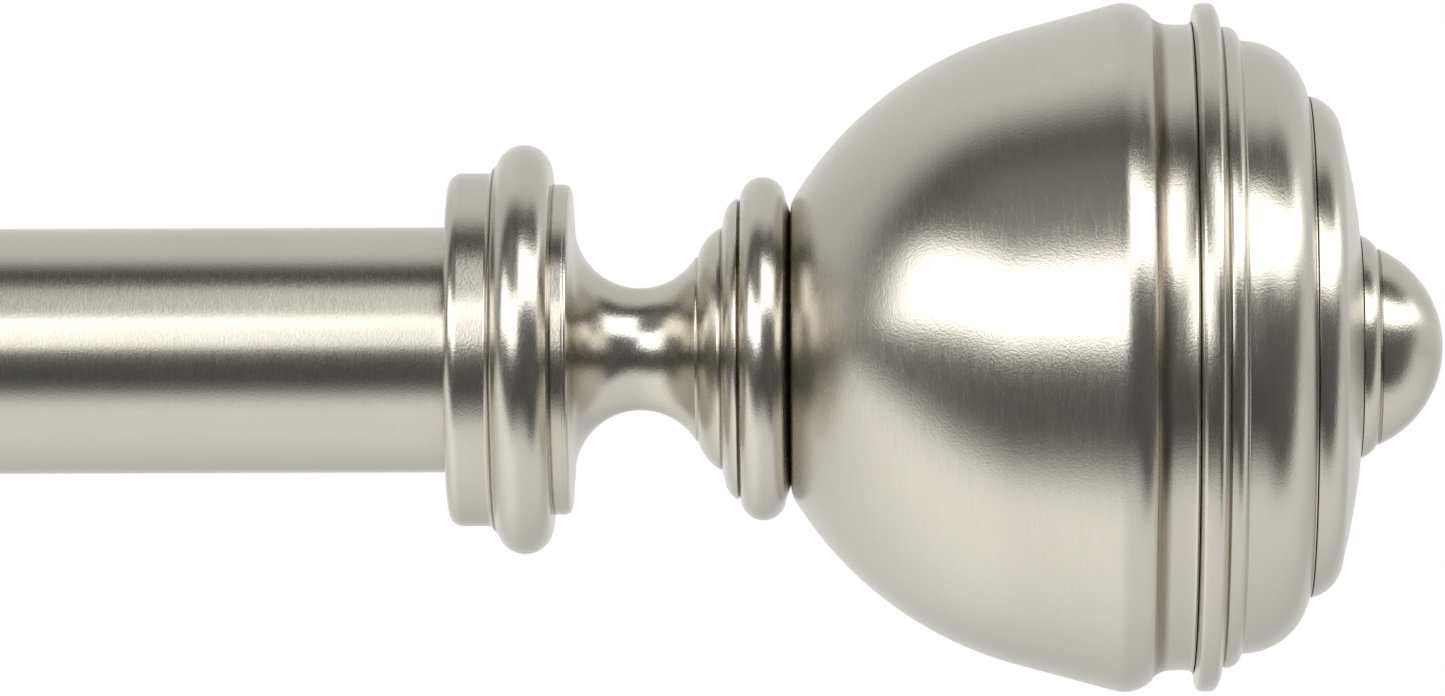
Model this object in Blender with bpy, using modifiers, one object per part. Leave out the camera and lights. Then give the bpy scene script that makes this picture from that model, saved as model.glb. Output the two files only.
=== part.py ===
"""Telescoping curtain rod, one inch across, with a turned finial at each end and two adjustable wall brackets.

Metres, +Z up. +X runs along the rod to its right end and -Y points into the room. The wall is the plane y = 0.
The origin is the centre of the right bracket's wall plate, on its back face. The rod is at its shortest.
"""

import math

import bmesh
import bpy
from mathutils import Euler, Vector

MM = 0.001
GAP = 0.3 * MM  # left between pieces that touch
THREAD_GAP = 0.25 * MM  # left round a screw in its hole, radially; threads are plain cylinders
SHARP_ANGLE = math.radians(35)
FINE, MIDDLE, COARSE = 24, 18, 12  # sides of a turned piece
ARC_SAG = 0.2 * MM  # how far a profile's arc may stray from round between two points
CHAMFER, SMALL_CHAMFER = 0.8 * MM, 0.5 * MM

# Rod: the outer tube slides over the inner one
ROD_R = 12.7 * MM
ROD_WALL = 0.7 * MM
INNER_ROD_R = 11.1 * MM
ROD_BORE_R = ROD_R - ROD_WALL
INNER_BORE_R = INNER_ROD_R - ROD_WALL
SPAN = 711 * MM  # between the two finials' collars, with the rod at its shortest
TRAVEL = 508 * MM  # how far the rod pulls out
LEAST_OVERLAP = 65 * MM  # of the tubes when the rod is pulled right out
SLEEVE_WALL = 0.5 * MM
BUSH_LENGTH = 12 * MM
BUSH_FLANGE = 1.5 * MM
GLIDE_LENGTH = 10 * MM
GLIDE_WALL, GLIDE_PLUG = 1.5 * MM, 12 * MM
SLIDE_GAP = 0.2 * MM  # round the bush and the glide, radially

# Brackets
PROJECTION = 89 * MM  # from the wall to the rod's axis
PLATE_R = 29.5 * MM
PLATE_T = 5 * MM
PLATE_RIM = 2.4 * MM  # radius of the bead round the plate
HUB_R, HUB_T = 11 * MM, 8 * MM
SPIGOT_R, SPIGOT_DEPTH = 6.2 * MM, 5 * MM
WALL_HOLE_R, WALL_HOLE_Z = 2.3 * MM, 19 * MM
WALL_SINK_R = 4.3 * MM
WALL_SCREW_R, WALL_SCREW_LENGTH = 1.9 * MM, 32 * MM
WALL_SCREW_POINT = 5 * MM
PLUG_R, PLUG_LENGTH, PLUG_SUNK = 3.0 * MM, 27 * MM, 3 * MM
PLUG_RIBS, PLUG_RIB, PLUG_RIB_RUN = 2, 0.4 * MM, 1.5 * MM
SOCKET_R, SOCKET_END = 8 * MM, 52.3 * MM
SOCKET_BEAD = 2.6 * MM
ARM_R, ARM_BACK = 5 * MM, 14 * MM
PROJECTION_SCREW_AT = 43 * MM  # from the wall
SMALL_SCREW_R = 2.0 * MM
PROJECTION_HEAD_R, PROJECTION_HEAD_T, PROJECTION_HEAD_AT = 4.5 * MM, 5 * MM, 10 * MM  # from the arm's axis
SOCKET_FOOT = 1.6 * MM  # radius and height of the collar round the socket's foot

# Cradle: a U-shaped strap, open at the top, on the end of the arm
CRADLE_R, CRADLE_T, CRADLE_WIDTH = 13 * MM, 3 * MM, 18 * MM
CRADLE_FRONT, CRADLE_BACK = 7.5 * MM, 12 * MM  # tops of its two walls above the rod's axis
LINER_R, LINER_T = INNER_ROD_R + GAP, 1.3 * MM
STRAP_STEPS = 10
BOSS_R, BOSS_END = 6.5 * MM, 18 * MM
NUT_BOSS_R, NUT_BOSS_END = 4.6 * MM, 18.3 * MM  # round the thumb screw's thread, at the front
CRADLE_SINK_R, CRADLE_SINK_END, CRADLE_HEAD_T = 3.9 * MM, 2.2 * MM, 1.9 * MM
CRADLE_SCREW_DEPTH = 12 * MM
THUMB_R, THUMB_HEAD_R, THUMB_HEAD_T = 2.5 * MM, 5.5 * MM, 6 * MM
THUMB_HEAD_AT = 19.3 * MM  # from the rod's axis
PAD_T, PAD_R = 1.5 * MM, 2.3 * MM
PAD_STEM_R, PAD_STEM = 1.0 * MM, 2 * MM
KNURL_DEPTH = 0.94  # of the head's radius, between two ridges

# Finial, along its own axis from the collar's open face
COLLAR_TO_BRACKET = 90 * MM
COLLAR_R, COLLAR_ROUND, COLLAR_END = 18.28 * MM, 1.45 * MM, 4.6 * MM
SOCKET_DEPTH = 11 * MM
BEAD_AT, BEAD_ROUND, BEAD_MIDDLE_R = 7.82 * MM, 2.9 * MM, 18.29 * MM
LEDGE_R, LEDGE_END = 17.1 * MM, 12.7 * MM
COVE_AT, COVE_MIDDLE_R, COVE_ROUND = 19.79 * MM, 13.16 * MM, 6.84 * MM
STEP_ONE = (25.7 * MM, 9.5 * MM), (28.1 * MM, 12.4 * MM)  # (place, radius) of its foot and its brow
STEP_TWO = (28.3 * MM, 12.9 * MM), (30.1 * MM, 15.6 * MM)
DISC_BEAD_AT, DISC_BEAD_ROUND, DISC_BEAD_MIDDLE_R = 32.63 * MM, 2.33 * MM, 15.44 * MM
BASE_END = 35.0 * MM
BELL_START, BELL_WALL = 35.4 * MM, 1.2 * MM
BELL_FLARE_AT, BELL_FLARE_MIDDLE_R, BELL_FLARE_ROUND = 68.84 * MM, -4.73 * MM, 38.86 * MM
BELL_FLARE_END = 58.12 * MM
BELL_LIP_AT, BELL_LIP_MIDDLE_R, BELL_LIP_ROUND = 69.78 * MM, 31.72 * MM, 3.92 * MM
BELL_BAND_R, BELL_BAND_START, BELL_END = 33.45 * MM, 74.3 * MM, 76.6 * MM
RING_R, RING_START, RING_END, RING_ROUND = 35.6 * MM, 76.9 * MM, 79.6 * MM, 1.25 * MM
DOME_STEP_R, DOME_STEP_END = 33.05 * MM, 81.95 * MM
SHOULDER_MIDDLE_R, SHOULDER_ROUND = 24.66 * MM, 7.04 * MM
DOME_WALL, DOME_SKIRT = 2.0 * MM, 73.2 * MM
DISC_EDGE_AT, DISC_EDGE_MIDDLE_R, DISC_EDGE_ROUND, DISC_EDGE_END = 88.2 * MM, 21.9 * MM, 4.15 * MM, 74
DISC_FACE_R, DISC_START, DISC_END = 10.9 * MM, 89.3 * MM, 94.2 * MM
KNOB_BASE_R, KNOB_START = 11.5 * MM, 94.5 * MM
KNOB_STEP_R, KNOB_BALL_AT, KNOB_BALL_R = 10.0 * MM, 91.8 * MM, 11.03 * MM
STUD_R, STUD_START, STUD_END = 2.5 * MM, 4.5 * MM, 100 * MM
NUT_FLATS, NUT_T = 8 * MM, 4 * MM
HEX_KEY_FLATS, HEX_KEY_DEPTH = 2 * MM, 2.5 * MM

FINISHES = {  # colour, roughness, metallic
    "nickel": ((0.60, 0.57, 0.52), 0.32, 1.0),
    "steel": ((0.55, 0.55, 0.56), 0.35, 1.0),
    "dark_steel": ((0.12, 0.12, 0.13), 0.4, 1.0),
    "black_plastic": ((0.02, 0.02, 0.02), 0.5, 0.0),
    "white_plastic": ((0.85, 0.85, 0.82), 0.45, 0.0),
    "grey_plastic": ((0.45, 0.47, 0.49), 0.55, 0.0),
}

# Where things are
RIGHT, LEFT = 1, -1
BRACKET_X = {RIGHT: 0.0, LEFT: 2 * COLLAR_TO_BRACKET - SPAN}
COLLAR_X = {side: BRACKET_X[side] + side * COLLAR_TO_BRACKET for side in (RIGHT, LEFT)}
MOUTH_X = BRACKET_X[LEFT] + 20 * MM  # the outer tube's open end
SIDE_NAME = {RIGHT: "right", LEFT: "left"}
HELD_R = {RIGHT: ROD_R, LEFT: INNER_ROD_R}  # the tube in each cradle
OUT_OF_WALL = Euler((math.pi / 2, 0, 0))
INTO_WALL = Euler((-math.pi / 2, 0, 0))
DOWN = Euler((math.pi, 0, 0))
ALONG_ROD = {side: Euler((0, side * math.pi / 2, 0)) for side in (RIGHT, LEFT)}


def new_collection(name):
    collection = bpy.data.collections.new(name)
    bpy.context.scene.collection.children.link(collection)
    return collection


def new_material(name, colour, roughness, metallic):
    material = bpy.data.materials.new(name)
    material.use_nodes = True
    shader = material.node_tree.nodes["Principled BSDF"]
    shader.inputs["Base Color"].default_value = (*colour, 1)
    shader.inputs["Roughness"].default_value = roughness
    shader.inputs["Metallic"].default_value = metallic
    material.diffuse_color = (*colour, 1)
    return material


def own_material(name, kind):
    """A material of the piece's own, of one of the finishes in FINISHES."""
    return new_material(name, *FINISHES[kind])


def arc(at, middle_r, radius, start, end):
    """Points (radius, place) of a profile's arc. Angles in degrees run from outwards towards the far end."""
    start, end = math.radians(start), math.radians(end)
    widest_step = 2 * math.acos(1 - ARC_SAG / radius)
    steps = math.ceil(abs(end - start) / widest_step)
    angles = [start + (end - start) * i / steps for i in range(steps + 1)]
    return [(middle_r + radius * math.cos(a), at + radius * math.sin(a)) for a in angles]


def body(name, at, parent=None):
    """An empty for a rigid body, at a point on its joint's axis. It is never turned or scaled."""
    empty = bpy.data.objects.new(name + "_body", None)
    empty.empty_display_size = 10 * MM
    PARTS.objects.link(empty)
    hang(empty, parent, at)
    return empty


def hang(obj, parent, at):
    """Parents obj and puts its origin at a point of the world."""
    bpy.context.view_layer.update()
    obj.parent = parent
    obj.location = Vector(at) - (parent.matrix_world.translation if parent else Vector())


def new_object(name, mesh, collection):
    obj = bpy.data.objects.new(name, mesh)
    collection.objects.link(obj)
    return obj


def baked(obj):
    """Applies obj's modifiers and shades it smooth, with its corners kept sharp."""
    bpy.context.view_layer.update()
    graph = bpy.context.evaluated_depsgraph_get()
    mesh = bpy.data.meshes.new_from_object(obj.evaluated_get(graph))
    obj.modifiers.clear()
    obj.data = mesh
    mesh.name = obj.name
    mesh.shade_smooth()
    mesh.set_sharp_from_angle(angle=SHARP_ANGLE)
    return obj


def turned(name, profile, collection, sides, hollow):
    """A profile of (radius, place) points, outer side from the far end to the near one, turned about local Z.

    A hollow profile is a closed loop whose bore comes last. Any other one starts and ends on the axis.
    """
    mesh = bpy.data.meshes.new(name)
    points = [(r, 0, z) for r, z in profile]
    edges = [(i, i + 1) for i in range(len(points) - 1)]
    if hollow:
        edges.append((len(points) - 1, 0))
    mesh.from_pydata(points, edges, [])
    obj = new_object(name, mesh, collection)
    screw = obj.modifiers.new("Turn", "SCREW")
    screw.axis = "Z"
    screw.steps = screw.render_steps = sides
    screw.use_merge_vertices = True
    screw.merge_threshold = 0.00001
    return baked(obj)


def prism(name, across_flats, low, high, collection):
    """A hexagonal prism about local Z."""
    builder = bmesh.new()
    corner_r = across_flats / 2 / math.cos(math.pi / 6)
    made = bmesh.ops.create_cone(
        builder, cap_ends=True, segments=6, radius1=corner_r, radius2=corner_r, depth=high - low
    )
    bmesh.ops.translate(builder, verts=made["verts"], vec=(0, 0, (low + high) / 2))
    mesh = bpy.data.meshes.new(name)
    builder.to_mesh(mesh)
    builder.free()
    return new_object(name, mesh, collection)


def place(obj, parent, at, turn, kind):
    hang(obj, parent, at)
    obj.rotation_euler = turn
    obj.data.materials.clear()
    obj.data.materials.append(own_material(obj.name, kind))
    return obj


def combine(obj, helper, at, turn, operation):
    """Cuts a helper from obj, or joins it on. Both are placed in the world."""
    helper.location = at
    helper.rotation_euler = turn
    helper.hide_render = True
    helper.display_type = "WIRE"
    boolean = obj.modifiers.new(helper.name, "BOOLEAN")
    boolean.operation = operation
    boolean.object = helper


def tube_profile(outer, bore, low, high):
    return [(outer, high), (outer, low), (bore, low), (bore, high)]


def rod_profile(radius, low, high):
    """A solid cylinder."""
    return [(0, high), (radius, high), (radius, low), (0, low)]


def cutter_rod(name, radius, low, high):
    return turned(name, rod_profile(radius, low, high), CUTTERS, COARSE, hollow=False)


def knurl(obj, radius):
    """Pulls in every second corner of a head's rim."""
    for vertex in obj.data.vertices:
        across = vertex.co.xy
        on_rim = across.length > 0.99 * radius
        step = round(math.atan2(across.y, across.x) / (2 * math.pi / FINE))
        if on_rim and step % 2:
            vertex.co.xy = across * KNURL_DEPTH


def thumb_screw_profile(shank_r, tip, head, head_r, head_t, bore=None):
    """A shank from tip to head, a head with chamfered rims, and a blind bore in the tip if bore is given."""
    end = head + head_t
    outline = (
        [(0, end), (head_r - CHAMFER, end), (head_r, end - CHAMFER)]
        + [(head_r, head + CHAMFER), (head_r - CHAMFER, head), (shank_r, head), (shank_r, tip)]
    )
    if bore:
        bore_r, depth = bore
        return outline + [(bore_r, tip), (bore_r, tip + depth), (0, tip + depth)]
    return outline + [(0, tip)]


def finial_base_profile():
    """Collar, bead, ledge, cove, two steps and the disc bead, then the rod's socket and the stud's hole."""
    (one_foot, one_foot_r), (one_brow, one_brow_r) = STEP_ONE
    (two_foot, two_foot_r), (two_brow, two_brow_r) = STEP_TWO
    hole_r = STUD_R + GAP
    cove_start = math.degrees(math.atan2(one_foot - COVE_AT, one_foot_r - COVE_MIDDLE_R))
    return (
        [(hole_r, BASE_END)]
        + arc(DISC_BEAD_AT, DISC_BEAD_MIDDLE_R, DISC_BEAD_ROUND, 90, -80)
        + [(two_brow_r, two_brow), (two_brow_r - 0.6 * MM, two_foot + 0.5 * MM), (two_foot_r, two_foot)]
        + [(one_brow_r, one_brow), (one_brow_r - 1.2 * MM, one_foot + 0.9 * MM)]
        + arc(COVE_AT, COVE_MIDDLE_R, COVE_ROUND, cove_start, 270)
        + [(LEDGE_R - CHAMFER, LEDGE_END), (LEDGE_R, LEDGE_END - CHAMFER), (LEDGE_R, BEAD_AT + BEAD_ROUND)]
        + arc(BEAD_AT, BEAD_MIDDLE_R, BEAD_ROUND, 80, -80)
        + [(COLLAR_R, COLLAR_END)]
        + arc(COLLAR_ROUND, COLLAR_R - COLLAR_ROUND, COLLAR_ROUND, 0, -90)
        + [(ROD_R + GAP, 0), (ROD_R + GAP, SOCKET_DEPTH), (hole_r, SOCKET_DEPTH)]
    )


def bell_skin(inset):
    """The bell's outline, moved inwards by inset, from its band back to its closed end."""
    flare = BELL_FLARE_ROUND - inset
    start, end = (BELL_START + inset) - BELL_FLARE_AT, BELL_FLARE_END - BELL_FLARE_AT
    flare_angles = [math.degrees(math.asin(s / flare)) for s in (end, start)]
    return (
        [(BELL_BAND_R - inset, BELL_END), (BELL_BAND_R - inset, BELL_BAND_START)]
        + arc(BELL_LIP_AT, BELL_LIP_MIDDLE_R, BELL_LIP_ROUND - inset, 43, -15)
        + arc(BELL_FLARE_AT, BELL_FLARE_MIDDLE_R, flare, *flare_angles)
    )


def finial_bell_profile():
    """A spun shell, closed at its narrow end apart from the stud's hole, open at its wide end."""
    hole_r = STUD_R + GAP
    inner = list(reversed(bell_skin(BELL_WALL)))
    return bell_skin(0) + [(hole_r, BELL_START), (hole_r, BELL_START + BELL_WALL)] + inner


def finial_dome_profile():
    """The front cap: ring, step and rounded shoulder outside, and a skirt inside that centres it in the bell."""
    hole_r = STUD_R + GAP
    face = DOME_STEP_END + SHOULDER_ROUND
    skirt_r = BELL_BAND_R - BELL_WALL - GAP
    inside_r = SHOULDER_MIDDLE_R + SHOULDER_ROUND - DOME_WALL
    return (
        [(hole_r, face)]
        + arc(DOME_STEP_END, SHOULDER_MIDDLE_R, SHOULDER_ROUND, 90, 0)
        + [(DOME_STEP_R - 1.2 * MM, DOME_STEP_END), (DOME_STEP_R, RING_END)]
        + arc(RING_END - RING_ROUND, RING_R - RING_ROUND, RING_ROUND, 90, 0)
        + [(RING_R, RING_START), (skirt_r, RING_START), (skirt_r, DOME_SKIRT), (inside_r, DOME_SKIRT)]
        + arc(DOME_STEP_END, SHOULDER_MIDDLE_R, SHOULDER_ROUND - DOME_WALL, 0, 90)
        + [(hole_r, face - DOME_WALL)]
    )


def finial_disc_profile():
    hole_r = STUD_R + GAP
    edge_start = math.degrees(math.asin((DISC_START - DISC_EDGE_AT) / DISC_EDGE_ROUND))
    return (
        [(hole_r, DISC_END), (DISC_FACE_R, DISC_END)]
        + arc(DISC_EDGE_AT, DISC_EDGE_MIDDLE_R, DISC_EDGE_ROUND, DISC_EDGE_END, edge_start)
        + [(hole_r, DISC_START)]
    )


def finial_knob_profile():
    """A ball end on a flared foot, with a blind hole for the stud."""
    hole_r = STUD_R + THREAD_GAP
    step_angle = math.degrees(math.acos(KNOB_STEP_R / KNOB_BALL_R))
    return (
        arc(KNOB_BALL_AT, 0, KNOB_BALL_R, 90, step_angle)
        + [(KNOB_BASE_R, KNOB_START + 0.3 * MM), (KNOB_BASE_R, KNOB_START), (hole_r, KNOB_START)]
        + [(hole_r, STUD_END + GAP), (0, STUD_END + GAP)]
    )


def finial(side, parent):
    """One finial on its own body: seven pieces on a threaded stud, and its set screw on another body."""
    name = SIDE_NAME[side] + "_finial"
    collar = (COLLAR_X[side], -PROJECTION, 0)
    held = body(name, collar, parent)
    turn = ALONG_ROD[side]
    pieces = (
        ("base", finial_base_profile(), MIDDLE, True),
        ("bell", finial_bell_profile(), FINE, True),
        ("dome", finial_dome_profile(), FINE, True),
        ("disc", finial_disc_profile(), FINE, True),
        ("knob", finial_knob_profile(), MIDDLE, False),
        ("stud", rod_profile(STUD_R, STUD_START, STUD_END), COARSE, False),
    )
    for piece, profile, sides, hollow in pieces:
        obj = turned(f"{name}_{piece}", profile, PARTS, sides, hollow)
        place(obj, held, collar, turn, "steel" if piece == "stud" else "nickel")
    nut_back = SOCKET_DEPTH - GAP
    nut = prism(name + "_nut", NUT_FLATS, nut_back - NUT_T, nut_back, PARTS)
    place(nut, held, collar, turn, "steel")
    hole = cutter_rod(name + "_nut_hole", STUD_R + THREAD_GAP, 0, SOCKET_DEPTH)
    combine(nut, hole, collar, turn, "DIFFERENCE")

    # The set screw stands in the bead, on the side that faces the wall
    screw_at = Vector(collar) + Vector((side * BEAD_AT, 0, 0))
    screw_tip, screw_top = ROD_R + GAP, BEAD_MIDDLE_R + BEAD_ROUND - GAP
    screw = turned(name + "_set_screw", rod_profile(SMALL_SCREW_R, screw_tip, screw_top), PARTS, COARSE, False)
    place(screw, body(name + "_set_screw", screw_at, held), screw_at, INTO_WALL, "dark_steel")
    key_hole = prism(
        name + "_key_hole", HEX_KEY_FLATS, screw_top - HEX_KEY_DEPTH, screw_top + GAP, CUTTERS
    )
    combine(screw, key_hole, screw_at, INTO_WALL, "DIFFERENCE")
    base = bpy.data.objects[name + "_base"]
    bead_hole = cutter_rod(name + "_screw_hole", SMALL_SCREW_R + THREAD_GAP, ROD_R - GAP, 2 * COLLAR_R)
    combine(base, bead_hole, screw_at, INTO_WALL, "DIFFERENCE")
    return held


def reducer(parent):
    """Plastic sleeve that takes up the play between the left collar and the thinner inner tube."""
    at = (COLLAR_X[LEFT], -PROJECTION, 0)
    profile = tube_profile(ROD_R, INNER_ROD_R + GAP, 0.5 * MM, SOCKET_DEPTH - GAP)
    sleeve = turned("left_finial_reducer", profile, PARTS, FINE, True)
    place(sleeve, parent, at, ALONG_ROD[LEFT], "black_plastic")


def outer_rod(parent):
    """The outer tube, from its mouth to the right finial's socket, and the plastic bush in its mouth."""
    mouth = (MOUTH_X, -PROJECTION, 0)
    rod = body("outer_rod", mouth, parent)
    length = COLLAR_X[RIGHT] + SOCKET_DEPTH - 2 * GAP - MOUTH_X
    tube = turned("outer_tube", tube_profile(ROD_R, ROD_BORE_R, 0, length), PARTS, FINE, True)
    place(tube, rod, mouth, ALONG_ROD[RIGHT], "nickel")
    bore_r = INNER_ROD_R + SLIDE_GAP
    sleeve_r = bore_r + SLEEVE_WALL
    bush = [(sleeve_r, BUSH_LENGTH), (sleeve_r, -GAP), (ROD_R, -GAP), (ROD_R, -GAP - BUSH_FLANGE)]
    bush += [(bore_r, -GAP - BUSH_FLANGE), (bore_r, BUSH_LENGTH)]
    place(turned("outer_tube_bush", bush, PARTS, FINE, True), rod, mouth, ALONG_ROD[RIGHT], "black_plastic")
    return rod


def inner_rod(parent):
    """The inner tube, from the left finial's socket into the outer tube, and the glide plugged into its end."""
    end = (COLLAR_X[LEFT] - SOCKET_DEPTH + 2 * GAP, -PROJECTION, 0)
    rod = body("inner_rod", end, parent)
    length = MOUTH_X + LEAST_OVERLAP + TRAVEL - end[0]
    tube = turned("inner_tube", tube_profile(INNER_ROD_R, INNER_BORE_R, 0, length), PARTS, FINE, True)
    place(tube, rod, end, ALONG_ROD[RIGHT], "nickel")
    rim_r, plug_r = ROD_BORE_R - SLIDE_GAP, INNER_BORE_R - SLIDE_GAP
    bore_r = plug_r - GLIDE_WALL
    rim = length + GAP
    glide = [(bore_r, rim + GLIDE_LENGTH), (rim_r, rim + GLIDE_LENGTH), (rim_r, rim)]
    glide += [(plug_r, rim), (plug_r, rim - GLIDE_PLUG), (bore_r, rim - GLIDE_PLUG)]
    place(turned("inner_tube_glide", glide, PARTS, FINE, True), rod, end, ALONG_ROD[RIGHT], "black_plastic")
    return rod


def wall_plate_profile():
    """A round plate with a beaded rim and a raised hub, whose recess takes the socket's spigot."""
    return (
        [(0, HUB_T - SPIGOT_DEPTH), (SPIGOT_R, HUB_T - SPIGOT_DEPTH), (SPIGOT_R, HUB_T)]
        + [(HUB_R - CHAMFER, HUB_T), (HUB_R, HUB_T - CHAMFER), (HUB_R + SMALL_CHAMFER, PLATE_T)]
        + arc(PLATE_T - PLATE_RIM / 2, PLATE_R - PLATE_RIM, PLATE_RIM, 150, 0)
        + [(PLATE_R, SMALL_CHAMFER), (PLATE_R - SMALL_CHAMFER, 0), (0, 0)]
    )


def socket_profile():
    """A blind tube on a spigot, with a bead round its mouth."""
    bore_r = ARM_R + GAP
    foot, foot_r = HUB_T + GAP, SOCKET_R + SOCKET_FOOT
    spigot_r, spigot_end = SPIGOT_R - GAP, HUB_T - SPIGOT_DEPTH + GAP
    bead_at = SOCKET_END - SOCKET_BEAD
    return (
        [(0, ARM_BACK - GAP), (bore_r, ARM_BACK - GAP), (bore_r, SOCKET_END)]
        + arc(bead_at, SOCKET_R, SOCKET_BEAD, 90, -90)
        + [(SOCKET_R, foot + SOCKET_FOOT + CHAMFER), (foot_r, foot + SOCKET_FOOT), (foot_r, foot)]
        + [(spigot_r, foot), (spigot_r, spigot_end), (0, spigot_end)]
    )


def wall_screw_profile():
    head = PLATE_T - GAP
    sink = WALL_SINK_R - WALL_HOLE_R
    tip = head - WALL_SCREW_LENGTH
    return (
        [(0, head), (WALL_SCREW_R + sink - SLIDE_GAP, head), (WALL_SCREW_R, head - sink)]
        + [(WALL_SCREW_R, tip + WALL_SCREW_POINT), (0, tip)]
    )


def wall_plug_profile():
    """A plastic wall plug with ribs, sunk below the wall's face, bored for the screw."""
    near, far = -PLUG_SUNK, -PLUG_SUNK - PLUG_LENGTH
    ribs = []
    for i in range(PLUG_RIBS):
        rib = near - PLUG_LENGTH * (i + 0.5) / PLUG_RIBS
        ribs += [(PLUG_R, rib + PLUG_RIB_RUN), (PLUG_R + PLUG_RIB, rib), (PLUG_R, rib - GAP)]
    bore_r = WALL_SCREW_R + GAP
    return [(PLUG_R, near)] + ribs + [(PLUG_R - SMALL_CHAMFER, far), (bore_r, far), (bore_r, near)]


def strap(name, inner_r, thickness, front, back, width):
    """A U-shaped strap about local X, open towards local +Y, with its front wall at local +Z."""
    middle_r = inner_r + thickness / 2
    angles = [math.pi * i / STRAP_STEPS for i in range(STRAP_STEPS + 1)]
    path = [(front, middle_r)] + [(-middle_r * math.sin(a), middle_r * math.cos(a)) for a in angles]
    path.append((back, -middle_r))
    builder = bmesh.new()
    rows = [[builder.verts.new((x, y, z)) for y, z in path] for x in (-width / 2, width / 2)]
    for i in range(len(path) - 1):
        builder.faces.new((rows[0][i], rows[1][i], rows[1][i + 1], rows[0][i + 1]))
    mesh = bpy.data.meshes.new(name)
    builder.to_mesh(mesh)
    builder.free()
    obj = new_object(name, mesh, PARTS)
    solidify = obj.modifiers.new("Thickness", "SOLIDIFY")
    solidify.thickness = thickness
    solidify.offset = 0
    solidify.use_even_offset = True
    bevel = obj.modifiers.new("Edges", "BEVEL")
    bevel.width = thickness / 6
    bevel.segments = 1
    bevel.angle_limit = math.radians(60)
    return baked(obj)


def cradle(side, parent, at):
    """The strap that the rod lies in, with a boss that the arm is screwed to and a hole for the thumb screw."""
    name = SIDE_NAME[side] + "_cradle"
    seat = strap(name, CRADLE_R, CRADLE_T, CRADLE_FRONT, CRADLE_BACK, CRADLE_WIDTH)
    place(seat, parent, at, OUT_OF_WALL, "nickel")
    middle_r = CRADLE_R + CRADLE_T / 2
    boss = turned(name + "_boss", rod_profile(BOSS_R, -BOSS_END, -middle_r), CUTTERS, FINE, False)
    combine(seat, boss, at, OUT_OF_WALL, "UNION")
    nut_profile = rod_profile(NUT_BOSS_R, middle_r, NUT_BOSS_END)
    nut_boss = turned(name + "_nut_boss", nut_profile, CUTTERS, MIDDLE, False)
    combine(seat, nut_boss, at, OUT_OF_WALL, "UNION")
    hole_r = SMALL_SCREW_R + THREAD_GAP
    mouth, sunk, end = -CRADLE_R + CRADLE_T / 2, -CRADLE_R - CRADLE_SINK_END, -BOSS_END - GAP
    sink = [(0, mouth), (CRADLE_SINK_R, mouth), (CRADLE_SINK_R, -CRADLE_R - GAP)]
    sink += [(hole_r, sunk), (hole_r, end), (0, end)]
    combine(seat, turned(name + "_sink", sink, CUTTERS, COARSE, False), at, OUT_OF_WALL, "DIFFERENCE")
    thumb_hole = cutter_rod(name + "_thumb_hole", THUMB_R + GAP, CRADLE_R - CRADLE_T / 2, 2 * CRADLE_R)
    combine(seat, thumb_hole, at, OUT_OF_WALL, "DIFFERENCE")


def cradle_liner(parent, at):
    """Plastic saddle that takes up the play round the thinner inner tube."""
    liner = strap("left_cradle_liner", LINER_R, LINER_T, CRADLE_FRONT, CRADLE_BACK, CRADLE_WIDTH)
    place(liner, parent, at, OUT_OF_WALL, "black_plastic")
    hole = cutter_rod("left_cradle_liner_hole", THUMB_R + GAP, LINER_R - LINER_T, 2 * CRADLE_R)
    combine(liner, hole, at, OUT_OF_WALL, "DIFFERENCE")


def clamp(side, parent, at):
    """The thumb screw at the front of the cradle, and the soft pad that its tip carries against the rod."""
    name = SIDE_NAME[side]
    face = HELD_R[side] + GAP
    back = face + PAD_T
    stem_end = back + PAD_STEM
    pad_body = body(name + "_clamp", at, parent)
    pad = [(0, stem_end), (PAD_STEM_R, stem_end), (PAD_STEM_R, back), (PAD_R, back), (PAD_R, face), (0, face)]
    place(turned(name + "_clamp_pad", pad, PARTS, COARSE, False), pad_body, at, OUT_OF_WALL, "white_plastic")
    bore = (PAD_STEM_R + GAP, PAD_STEM)
    profile = thumb_screw_profile(THUMB_R, back + GAP, THUMB_HEAD_AT, THUMB_HEAD_R, THUMB_HEAD_T, bore)
    screw = turned(name + "_thumb_screw", profile, PARTS, FINE, False)
    knurl(screw, THUMB_HEAD_R)
    place(screw, body(name + "_thumb_screw", at, pad_body), at, OUT_OF_WALL, "nickel")


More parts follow.
